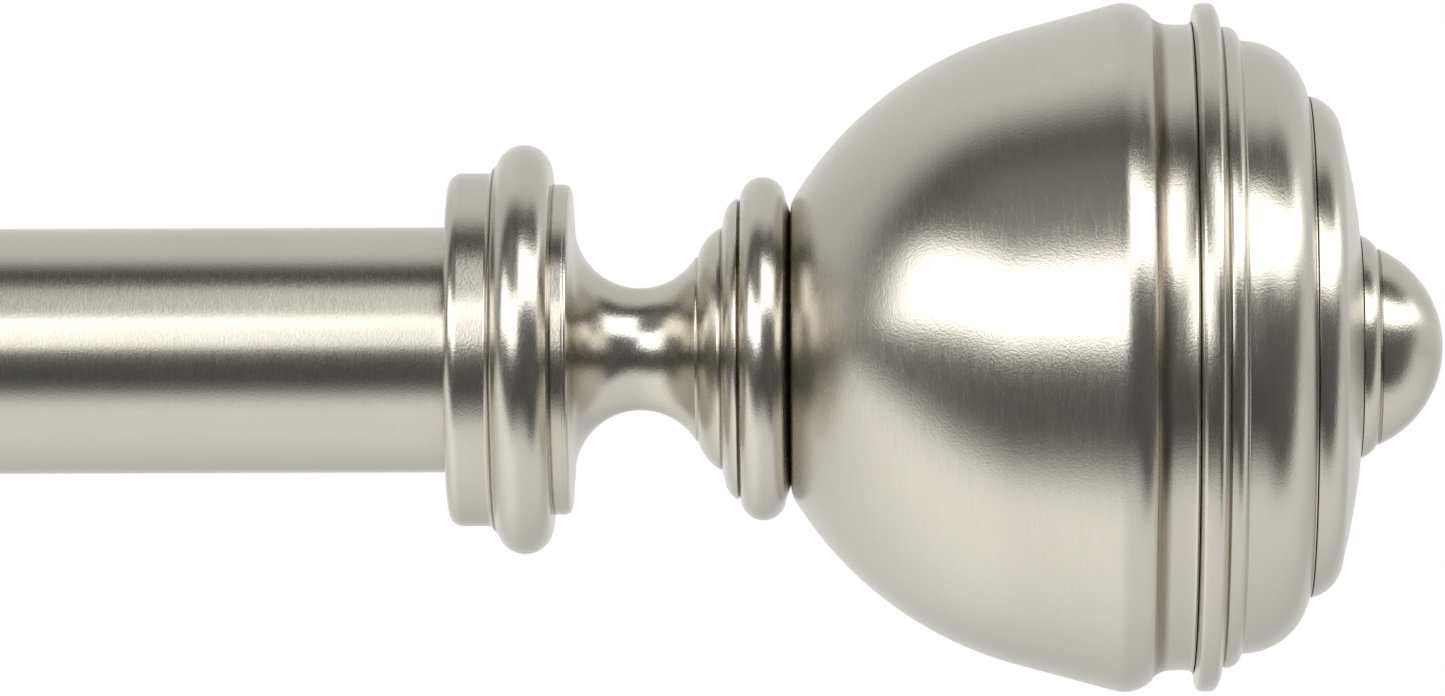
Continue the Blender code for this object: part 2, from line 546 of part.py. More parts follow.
def wall_bracket(side):
    """Plate, socket, wall screws and plugs on one body, and the screw that locks the arm on another."""
    name = SIDE_NAME[side]
    wall = Vector((BRACKET_X[side], 0, 0))
    fixed = body(name + "_wall_bracket", wall)
    plate = turned(name + "_wall_plate", wall_plate_profile(), PARTS, FINE, False)
    place(plate, fixed, wall, OUT_OF_WALL, "nickel")
    socket = turned(name + "_socket", socket_profile(), PARTS, MIDDLE, False)
    place(socket, fixed, wall, OUT_OF_WALL, "nickel")
    sink = WALL_SINK_R - WALL_HOLE_R
    hole_profile = [(0, PLATE_T + GAP), (WALL_SINK_R, PLATE_T + GAP), (WALL_SINK_R, PLATE_T)]
    hole_profile += [(WALL_HOLE_R, PLATE_T - sink), (WALL_HOLE_R, -GAP), (0, -GAP)]
    for where, sign in (("upper", 1), ("lower", -1)):
        at = wall + Vector((0, 0, sign * WALL_HOLE_Z))
        screw = turned(f"{name}_wall_screw_{where}", wall_screw_profile(), PARTS, COARSE, False)
        place(screw, fixed, at, OUT_OF_WALL, "steel")
        plug = turned(f"{name}_wall_plug_{where}", wall_plug_profile(), PARTS, COARSE, True)
        place(plug, fixed, at, OUT_OF_WALL, "grey_plastic")
        hole = turned(f"{name}_wall_hole_{where}", hole_profile, CUTTERS, COARSE, False)
        combine(plate, hole, at, OUT_OF_WALL, "DIFFERENCE")

    at = wall + Vector((0, -PROJECTION_SCREW_AT, 0))
    profile = thumb_screw_profile(
        SMALL_SCREW_R, ARM_R + GAP, PROJECTION_HEAD_AT, PROJECTION_HEAD_R, PROJECTION_HEAD_T
    )
    screw = turned(name + "_projection_screw", profile, PARTS, FINE, False)
    knurl(screw, PROJECTION_HEAD_R)
    place(screw, body(name + "_projection_screw", at, fixed), at, DOWN, "nickel")
    screw_hole = cutter_rod(name + "_projection_hole", SMALL_SCREW_R + GAP, ARM_R / 2, 2 * SOCKET_R)
    combine(socket, screw_hole, at, DOWN, "DIFFERENCE")
    return fixed


def arm(side, parent):
    """The rod that slides in the socket, with the cradle screwed on its end."""
    name = SIDE_NAME[side]
    wall = Vector((BRACKET_X[side], 0, 0))
    axis = wall + Vector((0, -PROJECTION, 0))
    sliding = body(name + "_arm", axis, parent)
    arm_end = PROJECTION - BOSS_END - GAP
    hole_r, hole_end = SMALL_SCREW_R + THREAD_GAP, arm_end - CRADLE_SCREW_DEPTH
    profile = [(0, hole_end), (hole_r, hole_end), (hole_r, arm_end), (ARM_R - SMALL_CHAMFER, arm_end)]
    profile += [(ARM_R, arm_end - SMALL_CHAMFER), (ARM_R, ARM_BACK), (0, ARM_BACK)]
    rod = turned(name + "_arm", profile, PARTS, COARSE, False)
    place(rod, sliding, wall, OUT_OF_WALL, "nickel")
    head = PROJECTION - CRADLE_R - GAP
    head_r, neck, tip = CRADLE_SINK_R - GAP, head - CRADLE_HEAD_T, hole_end + CHAMFER
    profile = [(0, head), (head_r, head), (SMALL_SCREW_R, neck), (SMALL_SCREW_R, tip), (0, tip)]
    place(turned(name + "_cradle_screw", profile, PARTS, COARSE, False), sliding, wall, OUT_OF_WALL, "steel")
    cradle(side, sliding, axis)
    clamp(side, sliding, axis)
    if side == LEFT:
        cradle_liner(sliding, axis)
    return sliding


def main():
    right_arm = arm(RIGHT, wall_bracket(RIGHT))
    arm(LEFT, wall_bracket(LEFT))
    outer = outer_rod(right_arm)
    finial(RIGHT, outer)
    inner = inner_rod(outer)
    reducer(finial(LEFT, inner))


for old in list(bpy.data.objects):
    bpy.data.objects.remove(old, do_unlink=True)
PARTS = new_collection("curtain_rod")
CUTTERS = new_collection("cutters")
main()
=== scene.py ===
"""Looks of the telescoping curtain rod with turned finials, in brushed nickel, and its studio.

Metres. The rod's axis runs along X, +Y is into the wall and +Z is up. A turned piece is made
about its own Z axis, from an outline of (radius, place) points that runs down its outer side,
from the far end to the near one.
"""

import math

import bpy
from mathutils import Euler, Matrix, Quaternion, Vector


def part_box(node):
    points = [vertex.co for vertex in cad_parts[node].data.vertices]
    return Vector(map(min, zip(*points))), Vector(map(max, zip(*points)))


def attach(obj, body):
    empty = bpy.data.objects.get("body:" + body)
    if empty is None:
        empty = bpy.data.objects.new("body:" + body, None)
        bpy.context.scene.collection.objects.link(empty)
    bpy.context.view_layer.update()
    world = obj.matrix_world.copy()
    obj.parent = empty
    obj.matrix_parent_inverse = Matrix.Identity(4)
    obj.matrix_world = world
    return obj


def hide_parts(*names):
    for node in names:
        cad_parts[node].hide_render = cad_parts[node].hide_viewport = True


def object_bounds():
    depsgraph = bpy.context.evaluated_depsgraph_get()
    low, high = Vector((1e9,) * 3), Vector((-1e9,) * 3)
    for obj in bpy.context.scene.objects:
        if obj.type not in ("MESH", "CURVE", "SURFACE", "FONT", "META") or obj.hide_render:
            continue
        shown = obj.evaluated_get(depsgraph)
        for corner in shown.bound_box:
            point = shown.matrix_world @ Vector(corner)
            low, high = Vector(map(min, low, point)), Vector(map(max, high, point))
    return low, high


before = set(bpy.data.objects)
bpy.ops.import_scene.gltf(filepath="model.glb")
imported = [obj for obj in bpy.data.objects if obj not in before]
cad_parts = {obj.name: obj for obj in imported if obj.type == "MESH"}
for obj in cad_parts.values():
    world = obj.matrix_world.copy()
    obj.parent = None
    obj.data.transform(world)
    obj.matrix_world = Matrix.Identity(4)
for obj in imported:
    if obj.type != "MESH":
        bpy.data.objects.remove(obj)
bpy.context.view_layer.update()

MM = 0.001
GAP = 0.3 * MM
RIGHT, LEFT = 1, -1
SIDE_NAME = {RIGHT: "right", LEFT: "left"}

# Rod
ROD_R, ROD_BORE_R = 12.7 * MM, 12.0 * MM
INNER_ROD_R, INNER_BORE_R = 11.1 * MM, 10.4 * MM
SEAM_DEPTH = 0.06 * MM
BUSH_FLANGE, BUSH_WALL, BUSH_PLAY = 1.5 * MM, 0.5 * MM, 0.2 * MM
HELD_R = {RIGHT: ROD_R, LEFT: INNER_ROD_R}

# Finial, along its own axis from the collar's open face
COLLAR_R, COLLAR_ROUND, COLLAR_END = 18.28 * MM, 1.45 * MM, 4.2 * MM
SOCKET_R, SOCKET_DEPTH = ROD_R + GAP, 11 * MM
BEAD_AT, BEAD_ROUND, BEAD_MIDDLE_R = 7.82 * MM, 2.9 * MM, 18.29 * MM
COVE_AT, COVE_MIDDLE_R, COVE_ROUND = 19.79 * MM, 13.16 * MM, 6.84 * MM
STEP_ONE_AT, STEP_ONE_MIDDLE_R, STEP_ONE_ROUND = 30.60 * MM, 8.20 * MM, 5.01 * MM
STEP_TWO_AT, STEP_TWO_MIDDLE_R, STEP_TWO_ROUND = 30.95 * MM, 13.45 * MM, 2.40 * MM
DISC_BEAD_AT, DISC_BEAD_ROUND, DISC_BEAD_MIDDLE_R = 32.52 * MM, 2.33 * MM, 15.44 * MM
BASE_LAND_R, BASE_LAND_END = 14.2 * MM, 35.36 * MM
BELL_START, BELL_WALL = 35.4 * MM, 1.2 * MM
FLARE_AT, FLARE_MIDDLE_R, FLARE_ROUND = 68.84 * MM, -4.73 * MM, 38.86 * MM
FLARE_END = 58.12 * MM
LIP_AT, LIP_MIDDLE_R, LIP_ROUND, LIP_TURN = 69.78 * MM, 31.72 * MM, 3.92 * MM, 46
HOLLOW_AT, HOLLOW_MIDDLE_R, HOLLOW_ROUND = 74.61 * MM, 36.22 * MM, 2.8 * MM
BAND_R, BAND_AT, BAND_ROUND, BELL_END = 33.38 * MM, 75.4 * MM, 11 * MM, 76.8 * MM
RING_R, RING_START, RING_END, RING_ROUND = 35.6 * MM, 76.88 * MM, 79.4 * MM, 0.9 * MM
STEP_BEAD_AT, STEP_BEAD_MIDDLE_R, STEP_BEAD_ROUND = 80.25 * MM, 31.65 * MM, 1.52 * MM
DOME_STEP_END = 81.95 * MM
SHOULDER_MIDDLE_R, SHOULDER_ROUND = 24.66 * MM, 7.04 * MM
DOME_WALL, DOME_SKIRT = 2.0 * MM, 73.2 * MM
DISC_FACE_AT, DISC_FACE_MIDDLE_R, DISC_FACE_ROUND = 22.58 * MM, 4.4 * MM, 72 * MM
DISC_EDGE_AT, DISC_EDGE_MIDDLE_R, DISC_EDGE_ROUND = 88.2 * MM, 21.9 * MM, 4.15 * MM
DISC_START, DISC_FACE_R, DISC_FACE_END = 89.12 * MM, 10.9 * MM, 94.2 * MM
KNOB_START, KNOB_FOOT_END = 94.28 * MM, 96.10 * MM
KNOB_FOOT_AT, KNOB_FOOT_MIDDLE_R, KNOB_FOOT_ROUND = 93.24 * MM, 8.52 * MM, 3.2 * MM
KNOB_BALL_AT, KNOB_BALL_R = 91.8 * MM, 11.03 * MM
STUD_R, STUD_END = 2.5 * MM, 100 * MM
# The corners between its arcs: (radius, place) in mm
STEP_TWO_CORNER = ((15.22, 30.02),)
STEP_ONE_CORNER = ((12.52, 28.26),)
LEDGE = (
    (16.40, 12.70), (16.85, 12.55), (17.02, 12.32), (16.98, 12.20),
    (17.10, 12.08), (17.10, 11.00), (17.20, 10.72),
)
COLLAR_GROOVE = (
    (19.10, 4.98), (18.95, 4.84), (18.79, 4.72), (18.84, 4.66), (18.55, 4.52), (18.36, 4.36),
)
RING_FACE = ((33.04, 79.96), (33.00, 79.86), (33.40, 79.77), (34.40, 79.60))
RING_BACK = ((35.61, 78.00), (35.55, 77.50), (35.40, 77.22), (35.10, 77.10), (33.68, 76.88))

# Brackets
PLATE_R, PLATE_T, PLATE_RIM = 29.5 * MM, 5 * MM, 2.4 * MM
HUB_R, HUB_T = 11 * MM, 8 * MM
SPIGOT_R, SPIGOT_DEPTH = 6.2 * MM, 5 * MM
WALL_HOLE_R, WALL_HOLE_Z, WALL_SINK_R = 2.3 * MM, 19 * MM, 4.3 * MM
ARM_R = 5 * MM
TUBE_R, TUBE_END, TUBE_BEAD, TUBE_FOOT = 8 * MM, 52.3 * MM, 2.6 * MM, 1.6 * MM
CRADLE_R, CRADLE_T, CRADLE_WIDTH = 13 * MM, 3 * MM, 18 * MM
CRADLE_FRONT, CRADLE_BACK = 7.5 * MM, 12 * MM
LINER_R, LINER_T = INNER_ROD_R + GAP, 1.3 * MM
BOSS_R, BOSS_END = 6.5 * MM, 18 * MM
NUT_BOSS_R, NUT_BOSS_END = 4.6 * MM, 18.3 * MM
THUMB_R, THUMB_HEAD_R, THUMB_HEAD_T, THUMB_HEAD_AT = 2.5 * MM, 5.5 * MM, 6 * MM, 19.3 * MM
PAD_R, PAD_T, PAD_STEM_R, PAD_STEM = 2.3 * MM, 1.5 * MM, 1.0 * MM, 2 * MM
SMALL_SCREW_R, SMALL_SCREW_PLAY = 2 * MM, 0.25 * MM
SOCKET_FLOOR = 13.7 * MM
PROJECTION_SCREW_AT, PROJECTION_HEAD_AT = 43 * MM, 10 * MM
PROJECTION_HEAD_R, PROJECTION_HEAD_T = 4.5 * MM, 5 * MM
FINE_PITCH, THUMB_PITCH, WOOD_PITCH = 0.7 * MM, 0.8 * MM, 1.4 * MM
WOOD_SCREW_R, WOOD_SCREW_LENGTH = 1.9 * MM, 32 * MM

OUT_OF_WALL = Euler((math.pi / 2, 0, 0))
INTO_WALL = Euler((-math.pi / 2, 0, 0))
DOWN = Euler((math.pi, 0, 0))
ALONG_ROD = {side: Euler((0, side * math.pi / 2, 0)) for side in (RIGHT, LEFT)}

# Where the frame puts things
axis_low, axis_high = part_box("outer_tube")
AXIS_Y, AXIS_Z = (axis_low.y + axis_high.y) / 2, (axis_low.z + axis_high.z) / 2
COLLAR = {
    RIGHT: Vector((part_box("right_finial_base")[0].x, AXIS_Y, AXIS_Z)),
    LEFT: Vector((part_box("left_finial_base")[1].x, AXIS_Y, AXIS_Z)),
}
WALL = {
    side: Vector((sum(corner.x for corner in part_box(f"{name}_wall_plate")) / 2, 0, AXIS_Z))
    for side, name in SIDE_NAME.items()
}


# ---- outlines ---------------------------------------------------------------

def in_mm(points):
    """Outline points that are written in mm."""
    return [(radius * MM, place * MM) for radius, place in points]


def arc(at, middle_r, radius, start, end):
    """Points of an outline's arc. Angles in degrees run from outwards towards the far end."""
    widest_step = 2.5 if abs(radius) > 8 * MM else 6
    steps = max(2, math.ceil(abs(end - start) / widest_step))
    angles = [math.radians(start + (end - start) * i / steps) for i in range(steps + 1)]
    return [(middle_r + radius * math.cos(a), at + radius * math.sin(a)) for a in angles]


def softened(outline, radius, closed=False):
    """The outline with every sharp corner rounded to about this radius. Points on the axis stay."""
    count = len(outline)
    result = []
    for i, point in enumerate(outline):
        here = Vector(point)
        if not closed and i in (0, count - 1):
            result.append(point)
            continue
        before, after = Vector(outline[i - 1]), Vector(outline[(i + 1) % count])
        back, on = before - here, after - here
        if back.length < 1e-9 or on.length < 1e-9:
            continue
        turn = math.pi - back.angle(on)
        if turn < math.radians(14):
            result.append(point)
            continue
        reach = min(radius * math.tan(turn / 2), 0.42 * back.length, 0.42 * on.length)
        first, last = here + back.normalized() * reach, here + on.normalized() * reach
        pieces = 4
        for k in range(pieces + 1):
            t = k / pieces
            spot = first * (1 - t) ** 2 + here * (2 * t * (1 - t)) + last * t**2
            result.append((max(spot.x, 0), spot.y))
    return result


def turned(name, outline, sides, closed=False, ripple=None):
    """A mesh of an outline turned about Z. A ripple(angle, radius, place) is added to the radii."""
    verts, rows = [], []
    for radius, place in outline:
        if radius < 1e-7:
            rows.append([len(verts)] * sides)
            verts.append((0, 0, place))
            continue
        rows.append([len(verts) + j for j in range(sides)])
        for j in range(sides):
            angle = 2 * math.pi * j / sides
            r = radius + (ripple(angle, radius, place) if ripple else 0)
            verts.append((r * math.cos(angle), r * math.sin(angle), place))
    faces = []
    spans = len(rows) if closed else len(rows) - 1
    for i in range(spans):
        upper, lower = rows[i], rows[(i + 1) % len(rows)]
        for j in range(sides):
            k = (j + 1) % sides
            corners = dict.fromkeys((upper[j], lower[j], lower[k], upper[k]))
            if len(corners) > 2:
                faces.append(tuple(corners))
    mesh = bpy.data.meshes.new(name)
    mesh.from_pydata(verts, [], faces)
    return smooth(mesh)


def turned_ring(name, outline, rounding, sides, ripple=None):
    """A turned mesh of an outline that closes on itself, with its corners rounded."""
    outline = softened(outline, rounding, closed=True)
    return turned(name, outline, sides, closed=True, ripple=ripple)


def smooth(mesh, angle=38):
    mesh.shade_smooth()
    mesh.set_sharp_from_angle(angle=math.radians(angle))
    return mesh


def placed(name, data):
    """A new object in the scene."""
    obj = bpy.data.objects.new(name, data)
    bpy.context.scene.collection.objects.link(obj)
    return obj


def combined(mesh, *helpers):
    """The mesh with each (operation, helper mesh, matrix) joined to it or cut from it."""
    owner = placed("work", mesh)
    others = []
    for operation, helper, matrix in helpers:
        other = placed("helper", helper)
        other.matrix_world = matrix
        boolean = owner.modifiers.new("cut", "BOOLEAN")
        boolean.operation = operation
        boolean.object = other
        others.append(other)
    bpy.context.view_layer.update()
    graph = bpy.context.evaluated_depsgraph_get()
    result = bpy.data.meshes.new_from_object(owner.evaluated_get(graph))
    result.name = mesh.name
    for used in [owner] + others:
        bpy.data.objects.remove(used)
    return smooth(result)


def prism(name, corners, low, high, taper=1.0):
    """A mesh with this outline of (x, y) corners, from low, where it is tapered, to high."""
    count = len(corners)
    verts = [(x * taper, y * taper, low) for x, y in corners] + [(x, y, high) for x, y in corners]
    faces = [tuple(reversed(range(count))), tuple(range(count, 2 * count))]
    faces += [(i, (i + 1) % count, count + (i + 1) % count, count + i) for i in range(count)]
    mesh = bpy.data.meshes.new(name)
    mesh.from_pydata(verts, [], faces)
    return mesh


def hexagon(flats):
    corner_r = flats / 2 / math.cos(math.pi / 6)
    corners = [math.pi * i / 3 for i in range(6)]
    return [(corner_r * math.cos(a), corner_r * math.sin(a)) for a in corners]


def cross(reach, width):
    """A plus sign's twelve corners."""
    arm = [(reach, -width), (reach, width), (width, width)]
    corners = []
    for quarter in range(4):
        c, s = math.cos(quarter * math.pi / 2), math.sin(quarter * math.pi / 2)
        corners += [(x * c - y * s, x * s + y * c) for x, y in arm]
    return corners


# ---- materials --------------------------------------------------------------

def add(tree, kind, inputs=None, **settings):
    made = tree.nodes.new("ShaderNode" + kind)
    for key, value in settings.items():
        setattr(made, key, value)
    for key, value in (inputs or {}).items():
        if isinstance(value, bpy.types.NodeSocket):
            tree.links.new(value, made.inputs[key])
        else:
            made.inputs[key].default_value = value
    return made


def maths(tree, operation, a, b=0.0, clamp=False):
    return add(tree, "Math", {0: a, 1: b}, operation=operation, use_clamp=clamp).outputs[0]


def weighted_sum(tree, a, weight_a, b, weight_b):
    one = maths(tree, "MULTIPLY", a, weight_a)
    return maths(tree, "ADD", one, maths(tree, "MULTIPLY", b, weight_b))


def mixed_colour(tree, amount, colour, other):
    """From a colour, or another mix, at 0 to the other colour at 1."""
    if isinstance(colour, tuple):
        colour = (*colour, 1)
    return add(tree, "Mix", {0: amount, 6: colour, 7: (*other, 1)}, data_type="RGBA").outputs[2]


def remap(tree, value, low, high, to_low, to_high):
    inputs = {"Value": value, "From Min": low, "From Max": high}
    inputs.update({"To Min": to_low, "To Max": to_high})
    return add(tree, "MapRange", inputs).outputs["Result"]


def noise(tree, vector, scale, detail=2.0, roughness=0.5, w=None):
    inputs = {"Vector": vector, "Scale": scale, "Detail": detail, "Roughness": roughness}
    if w is None:
        return add(tree, "TexNoise", inputs).outputs[0]
    return add(tree, "TexNoise", {**inputs, "W": w}, noise_dimensions="4D").outputs[0]


def bumped(tree, height, distance, normal=None):
    inputs = {"Height": height, "Distance": distance, "Strength": 1.0}
    if normal is not None:
        inputs["Normal"] = normal
    return add(tree, "Bump", inputs).outputs["Normal"]


def blank(name):
    material = bpy.data.materials.new(name)
    material.use_nodes = True
    tree = material.node_tree
    return material, tree, tree.nodes["Principled BSDF"]


def streak_fields(tree, across, lengthwise):
    """Brushing lines, fine and coarse, that run round a piece turned about Z.

    Returns the place, the two fields, and the radius and the place along Z.
    """
    place = add(tree, "TexCoord").outputs["Object"]
    split = add(tree, "SeparateXYZ", {"Vector": place}).outputs
    flat = add(tree, "CombineXYZ", {"X": split["X"], "Y": split["Y"]}).outputs["Vector"]
    radius = add(tree, "VectorMath", {0: flat}, operation="LENGTH").outputs["Value"]
    heading = add(tree, "VectorMath", {0: flat}, operation="NORMALIZE").outputs["Vector"]
    heading = add(tree, "SeparateXYZ", {"Vector": heading}).outputs
    fields = []
    for width, length in ((across, lengthwise), (across * 5, lengthwise * 0.6)):
        parts = {
            "X": maths(tree, "MULTIPLY", heading["X"], length),
            "Y": maths(tree, "MULTIPLY", heading["Y"], length),
            "Z": maths(tree, "DIVIDE", split["Z"], width),
        }
        vector = add(tree, "CombineXYZ", parts).outputs["Vector"]
        w = maths(tree, "DIVIDE", radius, width)
        fields.append(noise(tree, vector, 1.0, detail=2, roughness=0.6, w=w))
    return place, fields[0], fields[1], radius, split["Z"]


def straight_streak_fields(tree, across, lengthwise):
    """The same on a bent bar: lines run along the bar, across local X. It has no radius."""
    place = add(tree, "TexCoord").outputs["Object"]
    split = add(tree, "SeparateXYZ", {"Vector": place}).outputs
    fields = []
    for width in (across, across * 5):
        parts = {
            "X": maths(tree, "DIVIDE", split["X"], width),
            "Y": maths(tree, "MULTIPLY", split["Y"], lengthwise / (10 * MM)),
            "Z": maths(tree, "MULTIPLY", split["Z"], lengthwise / (10 * MM)),
        }
        vector = add(tree, "CombineXYZ", parts).outputs["Vector"]
        fields.append(noise(tree, vector, 1.0, detail=2, roughness=0.6))
    return place, fields[0], fields[1], None, None


def scratches(tree, place):
    """A field that is above 0 in a few short thin scratches, each of its own direction."""
    mapping = {"Vector": place, "Rotation": (0.6, 0.4, 0.9), "Scale": (160, 900, 900)}
    stretched = add(tree, "Mapping", mapping).outputs[0]
    cells = add(tree, "TexVoronoi", {"Vector": stretched, "Scale": 0.16, "Randomness": 1.0}).outputs
    kind = add(tree, "SeparateColor", {"Color": cells["Color"]}).outputs["Green"]
    width = remap(tree, kind, 0.75, 1, 0, 0.025)
    return maths(tree, "MULTIPLY", maths(tree, "LESS_THAN", cells["Distance"], width), 0.5)


def painted_crease_shade(tree, radius, along_axis, creases):
    """A field that is 1 in the creases' circles (radius, place, reach), and 0 a little way off; it
    marks where shade is painted.
    """
    field = None
    for crease in creases:
        crease_r, crease_at, reach = (value * MM for value in crease)
        out = maths(tree, "SUBTRACT", radius, crease_r)
        on = maths(tree, "SUBTRACT", along_axis, crease_at)
        out_squared, on_squared = maths(tree, "MULTIPLY", out, out), maths(tree, "MULTIPLY", on, on)
        square = maths(tree, "ADD", out_squared, on_squared)
        near = remap(tree, maths(tree, "SQRT", square), 0.3 * reach, reach, 1, 0)
        field = near if field is None else maths(tree, "MAXIMUM", field, near)
    return field


# Where shade and dark reflections are painted into the finial's creases and the gaps between its
# pieces, as a darker colour: radius, place and reach, in mm
CREASES = (
    (18.9, 4.72, 0.28),  # collar line
    (17.1, 10.9, 0.22),  # bead to ledge
    (12.5, 28.25, 0.25),  # first step
    (15.3, 30.05, 0.22),  # second step
    (14.4, 35.3, 0.8),  # disc bead to bell
    (33.9, 73.2, 1.0),  # the bell's lip
    (33.7, 76.84, 0.35),  # bell to ring
    (33.0, 79.88, 0.15),  # ring to step
    (25.9, 89.04, 0.16),  # dome to disc
    (10.1, 96.24, 0.12),  # the knob's rim
)
# The dark colour of that painted shade
NICKEL_IN_PAINTED_SHADE = (0.26, 0.215, 0.16)
NICKEL = (0.660, 0.632, 0.555)
NICKEL_DULL = (0.580, 0.552, 0.478)


def nickel(name, roughness, anisotropy, turned_piece=True, speckle=1.0, creases=()):
    """Brushed and lacquered nickel plate: lines, a fine orange peel, scratches and tiny pits, and
    shade painted darker into the creases given.
    """
    material, tree, shader = blank(name)
    fields = streak_fields if turned_piece else straight_streak_fields
    place, fine, coarse, radius, along_axis = fields(tree, 0.07 * MM, 16.0)
    cloud = noise(tree, place, 1 / (14 * MM), detail=3)
    peel = noise(tree, place, 1 / (0.24 * MM), detail=2, roughness=0.6)
    spots = {"Vector": place, "Scale": 1 / (4.5 * MM), "Randomness": 1.0}
    pits = add(tree, "TexVoronoi", spots).outputs
    pit_kind = add(tree, "SeparateColor", {"Color": pits["Color"]}).outputs["Red"]
    pit = maths(tree, "LESS_THAN", pits["Distance"], remap(tree, pit_kind, 0.6, 1, 0, 0.03))
    scratch = scratches(tree, place)

    mixed = weighted_sum(tree, fine, 0.6, coarse, 0.4)
    tone = weighted_sum(tree, mixed, 0.5, cloud, 0.5)
    blend = remap(tree, tone, 0.35, 0.65, 0, 0.5)
    blend = maths(tree, "ADD", blend, maths(tree, "MULTIPLY", pit, 0.5), clamp=True)
    colour = mixed_colour(tree, blend, NICKEL, NICKEL_DULL)
    # Painted shade: the creases and gaps are coloured darker, standing in for their shade and dark
    # reflections
    if creases:
        uneven = remap(tree, fine, 0.3, 0.7, 0.75, 1)
        dark = maths(tree, "MULTIPLY", painted_crease_shade(tree, radius, along_axis, creases), uneven)
        colour = mixed_colour(tree, dark, colour, NICKEL_IN_PAINTED_SHADE)
    tree.links.new(colour, shader.inputs["Base Color"])
    shader.inputs["Metallic"].default_value = 1.0
    rough = remap(tree, mixed, 0.35, 0.65, roughness - 0.03, roughness + 0.04)
    tree.links.new(rough, shader.inputs["Roughness"])
    shader.inputs["Anisotropic"].default_value = anisotropy
    shader.inputs["Anisotropic Rotation"].default_value = 0.25
    tangent = add(tree, "Tangent", direction_type="RADIAL", axis="Z" if turned_piece else "X")
    tree.links.new(tangent.outputs["Tangent"], shader.inputs["Tangent"])
    normal = bumped(tree, peel, 0.013 * MM * speckle)
    normal = bumped(tree, fine, 0.0010 * MM, normal)
    normal = bumped(tree, coarse, 0.0008 * MM, normal)
    unmarked = maths(tree, "SUBTRACT", 1.0, maths(tree, "MAXIMUM", pit, scratch))
    tree.links.new(bumped(tree, unmarked, 0.01 * MM, normal), shader.inputs["Normal"])
    return material


def plated_steel(name, colour, dull, roughness):
    """Zinc plate or black oxide on a small screw, with faint turning lines and uneven plating."""
    material, tree, shader = blank(name)
    place, fine = streak_fields(tree, 0.12 * MM, 3.0)[:2]
    cloud = noise(tree, place, 1 / (1.6 * MM), detail=4, roughness=0.6)
    blend = remap(tree, cloud, 0.35, 0.65, 0, 1)
    tree.links.new(mixed_colour(tree, blend, colour, dull), shader.inputs["Base Color"])
    shader.inputs["Metallic"].default_value = 1.0
    rough = remap(tree, cloud, 0.3, 0.7, roughness - 0.06, roughness + 0.08)
    tree.links.new(rough, shader.inputs["Roughness"])
    normal = bumped(tree, fine, 0.004 * MM)
    normal = bumped(tree, cloud, 0.01 * MM, normal)
    tree.links.new(normal, shader.inputs["Normal"])
    return material


def moulded(name, colour, pale, roughness):
    """Moulded plastic with a fine spark-eroded texture and slight blotches."""
    material, tree, shader = blank(name)
    place = add(tree, "TexCoord").outputs["Object"]
    grain = noise(tree, place, 1 / (0.25 * MM), detail=2)
    cloud = noise(tree, place, 1 / (5 * MM), detail=3)
    blend = remap(tree, cloud, 0.35, 0.65, 0, 1)
    tree.links.new(mixed_colour(tree, blend, colour, pale), shader.inputs["Base Color"])
    rough = remap(tree, grain, 0.3, 0.7, roughness - 0.08, roughness + 0.1)
    tree.links.new(rough, shader.inputs["Roughness"])
    tree.links.new(bumped(tree, grain, 0.012 * MM), shader.inputs["Normal"])
    return material


STRAP_NICKEL = nickel("strap_nickel_brushed", 0.28, 0.4, turned_piece=False)
ZINC = plated_steel("zinc_plate", (0.60, 0.61, 0.63), (0.50, 0.50, 0.50), 0.30)
BLACK_PLASTIC = moulded("black_moulding", (0.018, 0.018, 0.019), (0.030, 0.030, 0.031), 0.45)
# The material of each of the record's slots
LOOKS = {
    "rod_nickel": nickel("rod_nickel_brushed", 0.26, 0.6, speckle=0.7),
    "finial_nickel": nickel("finial_nickel_brushed", 0.245, 0.4, creases=CREASES),
    "bracket_nickel": nickel("bracket_nickel_brushed", 0.28, 0.4),
    "zinc_steel": ZINC,
    "black_steel": plated_steel("black_oxide", (0.10, 0.10, 0.11), (0.16, 0.15, 0.14), 0.38),
    "black_plastic": BLACK_PLASTIC,
    "white_nylon": moulded("white_nylon", (0.82, 0.81, 0.77), (0.87, 0.86, 0.83), 0.42),
    "grey_plastic": moulded("grey_moulding", (0.40, 0.42, 0.44), (0.47, 0.48, 0.50), 0.5),
}


def piece(node, mesh, body, at, turn, slot, material=None):
    """A fine surface that stands for a CAD node, and rides on its body."""
    mesh.materials.clear()
    mesh.materials.append(material or LOOKS[slot])
    obj = placed(node + "_surface", mesh)
    obj.matrix_world = Matrix.Translation(at) @ turn.to_matrix().to_4x4()
    weighted = obj.modifiers.new("Even shading", "WEIGHTED_NORMAL")
    weighted.keep_sharp = True
    weighted.weight = 80
    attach(obj, body)
    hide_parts(node)
    return obj


# ---- finial -----------------------------------------------------------------

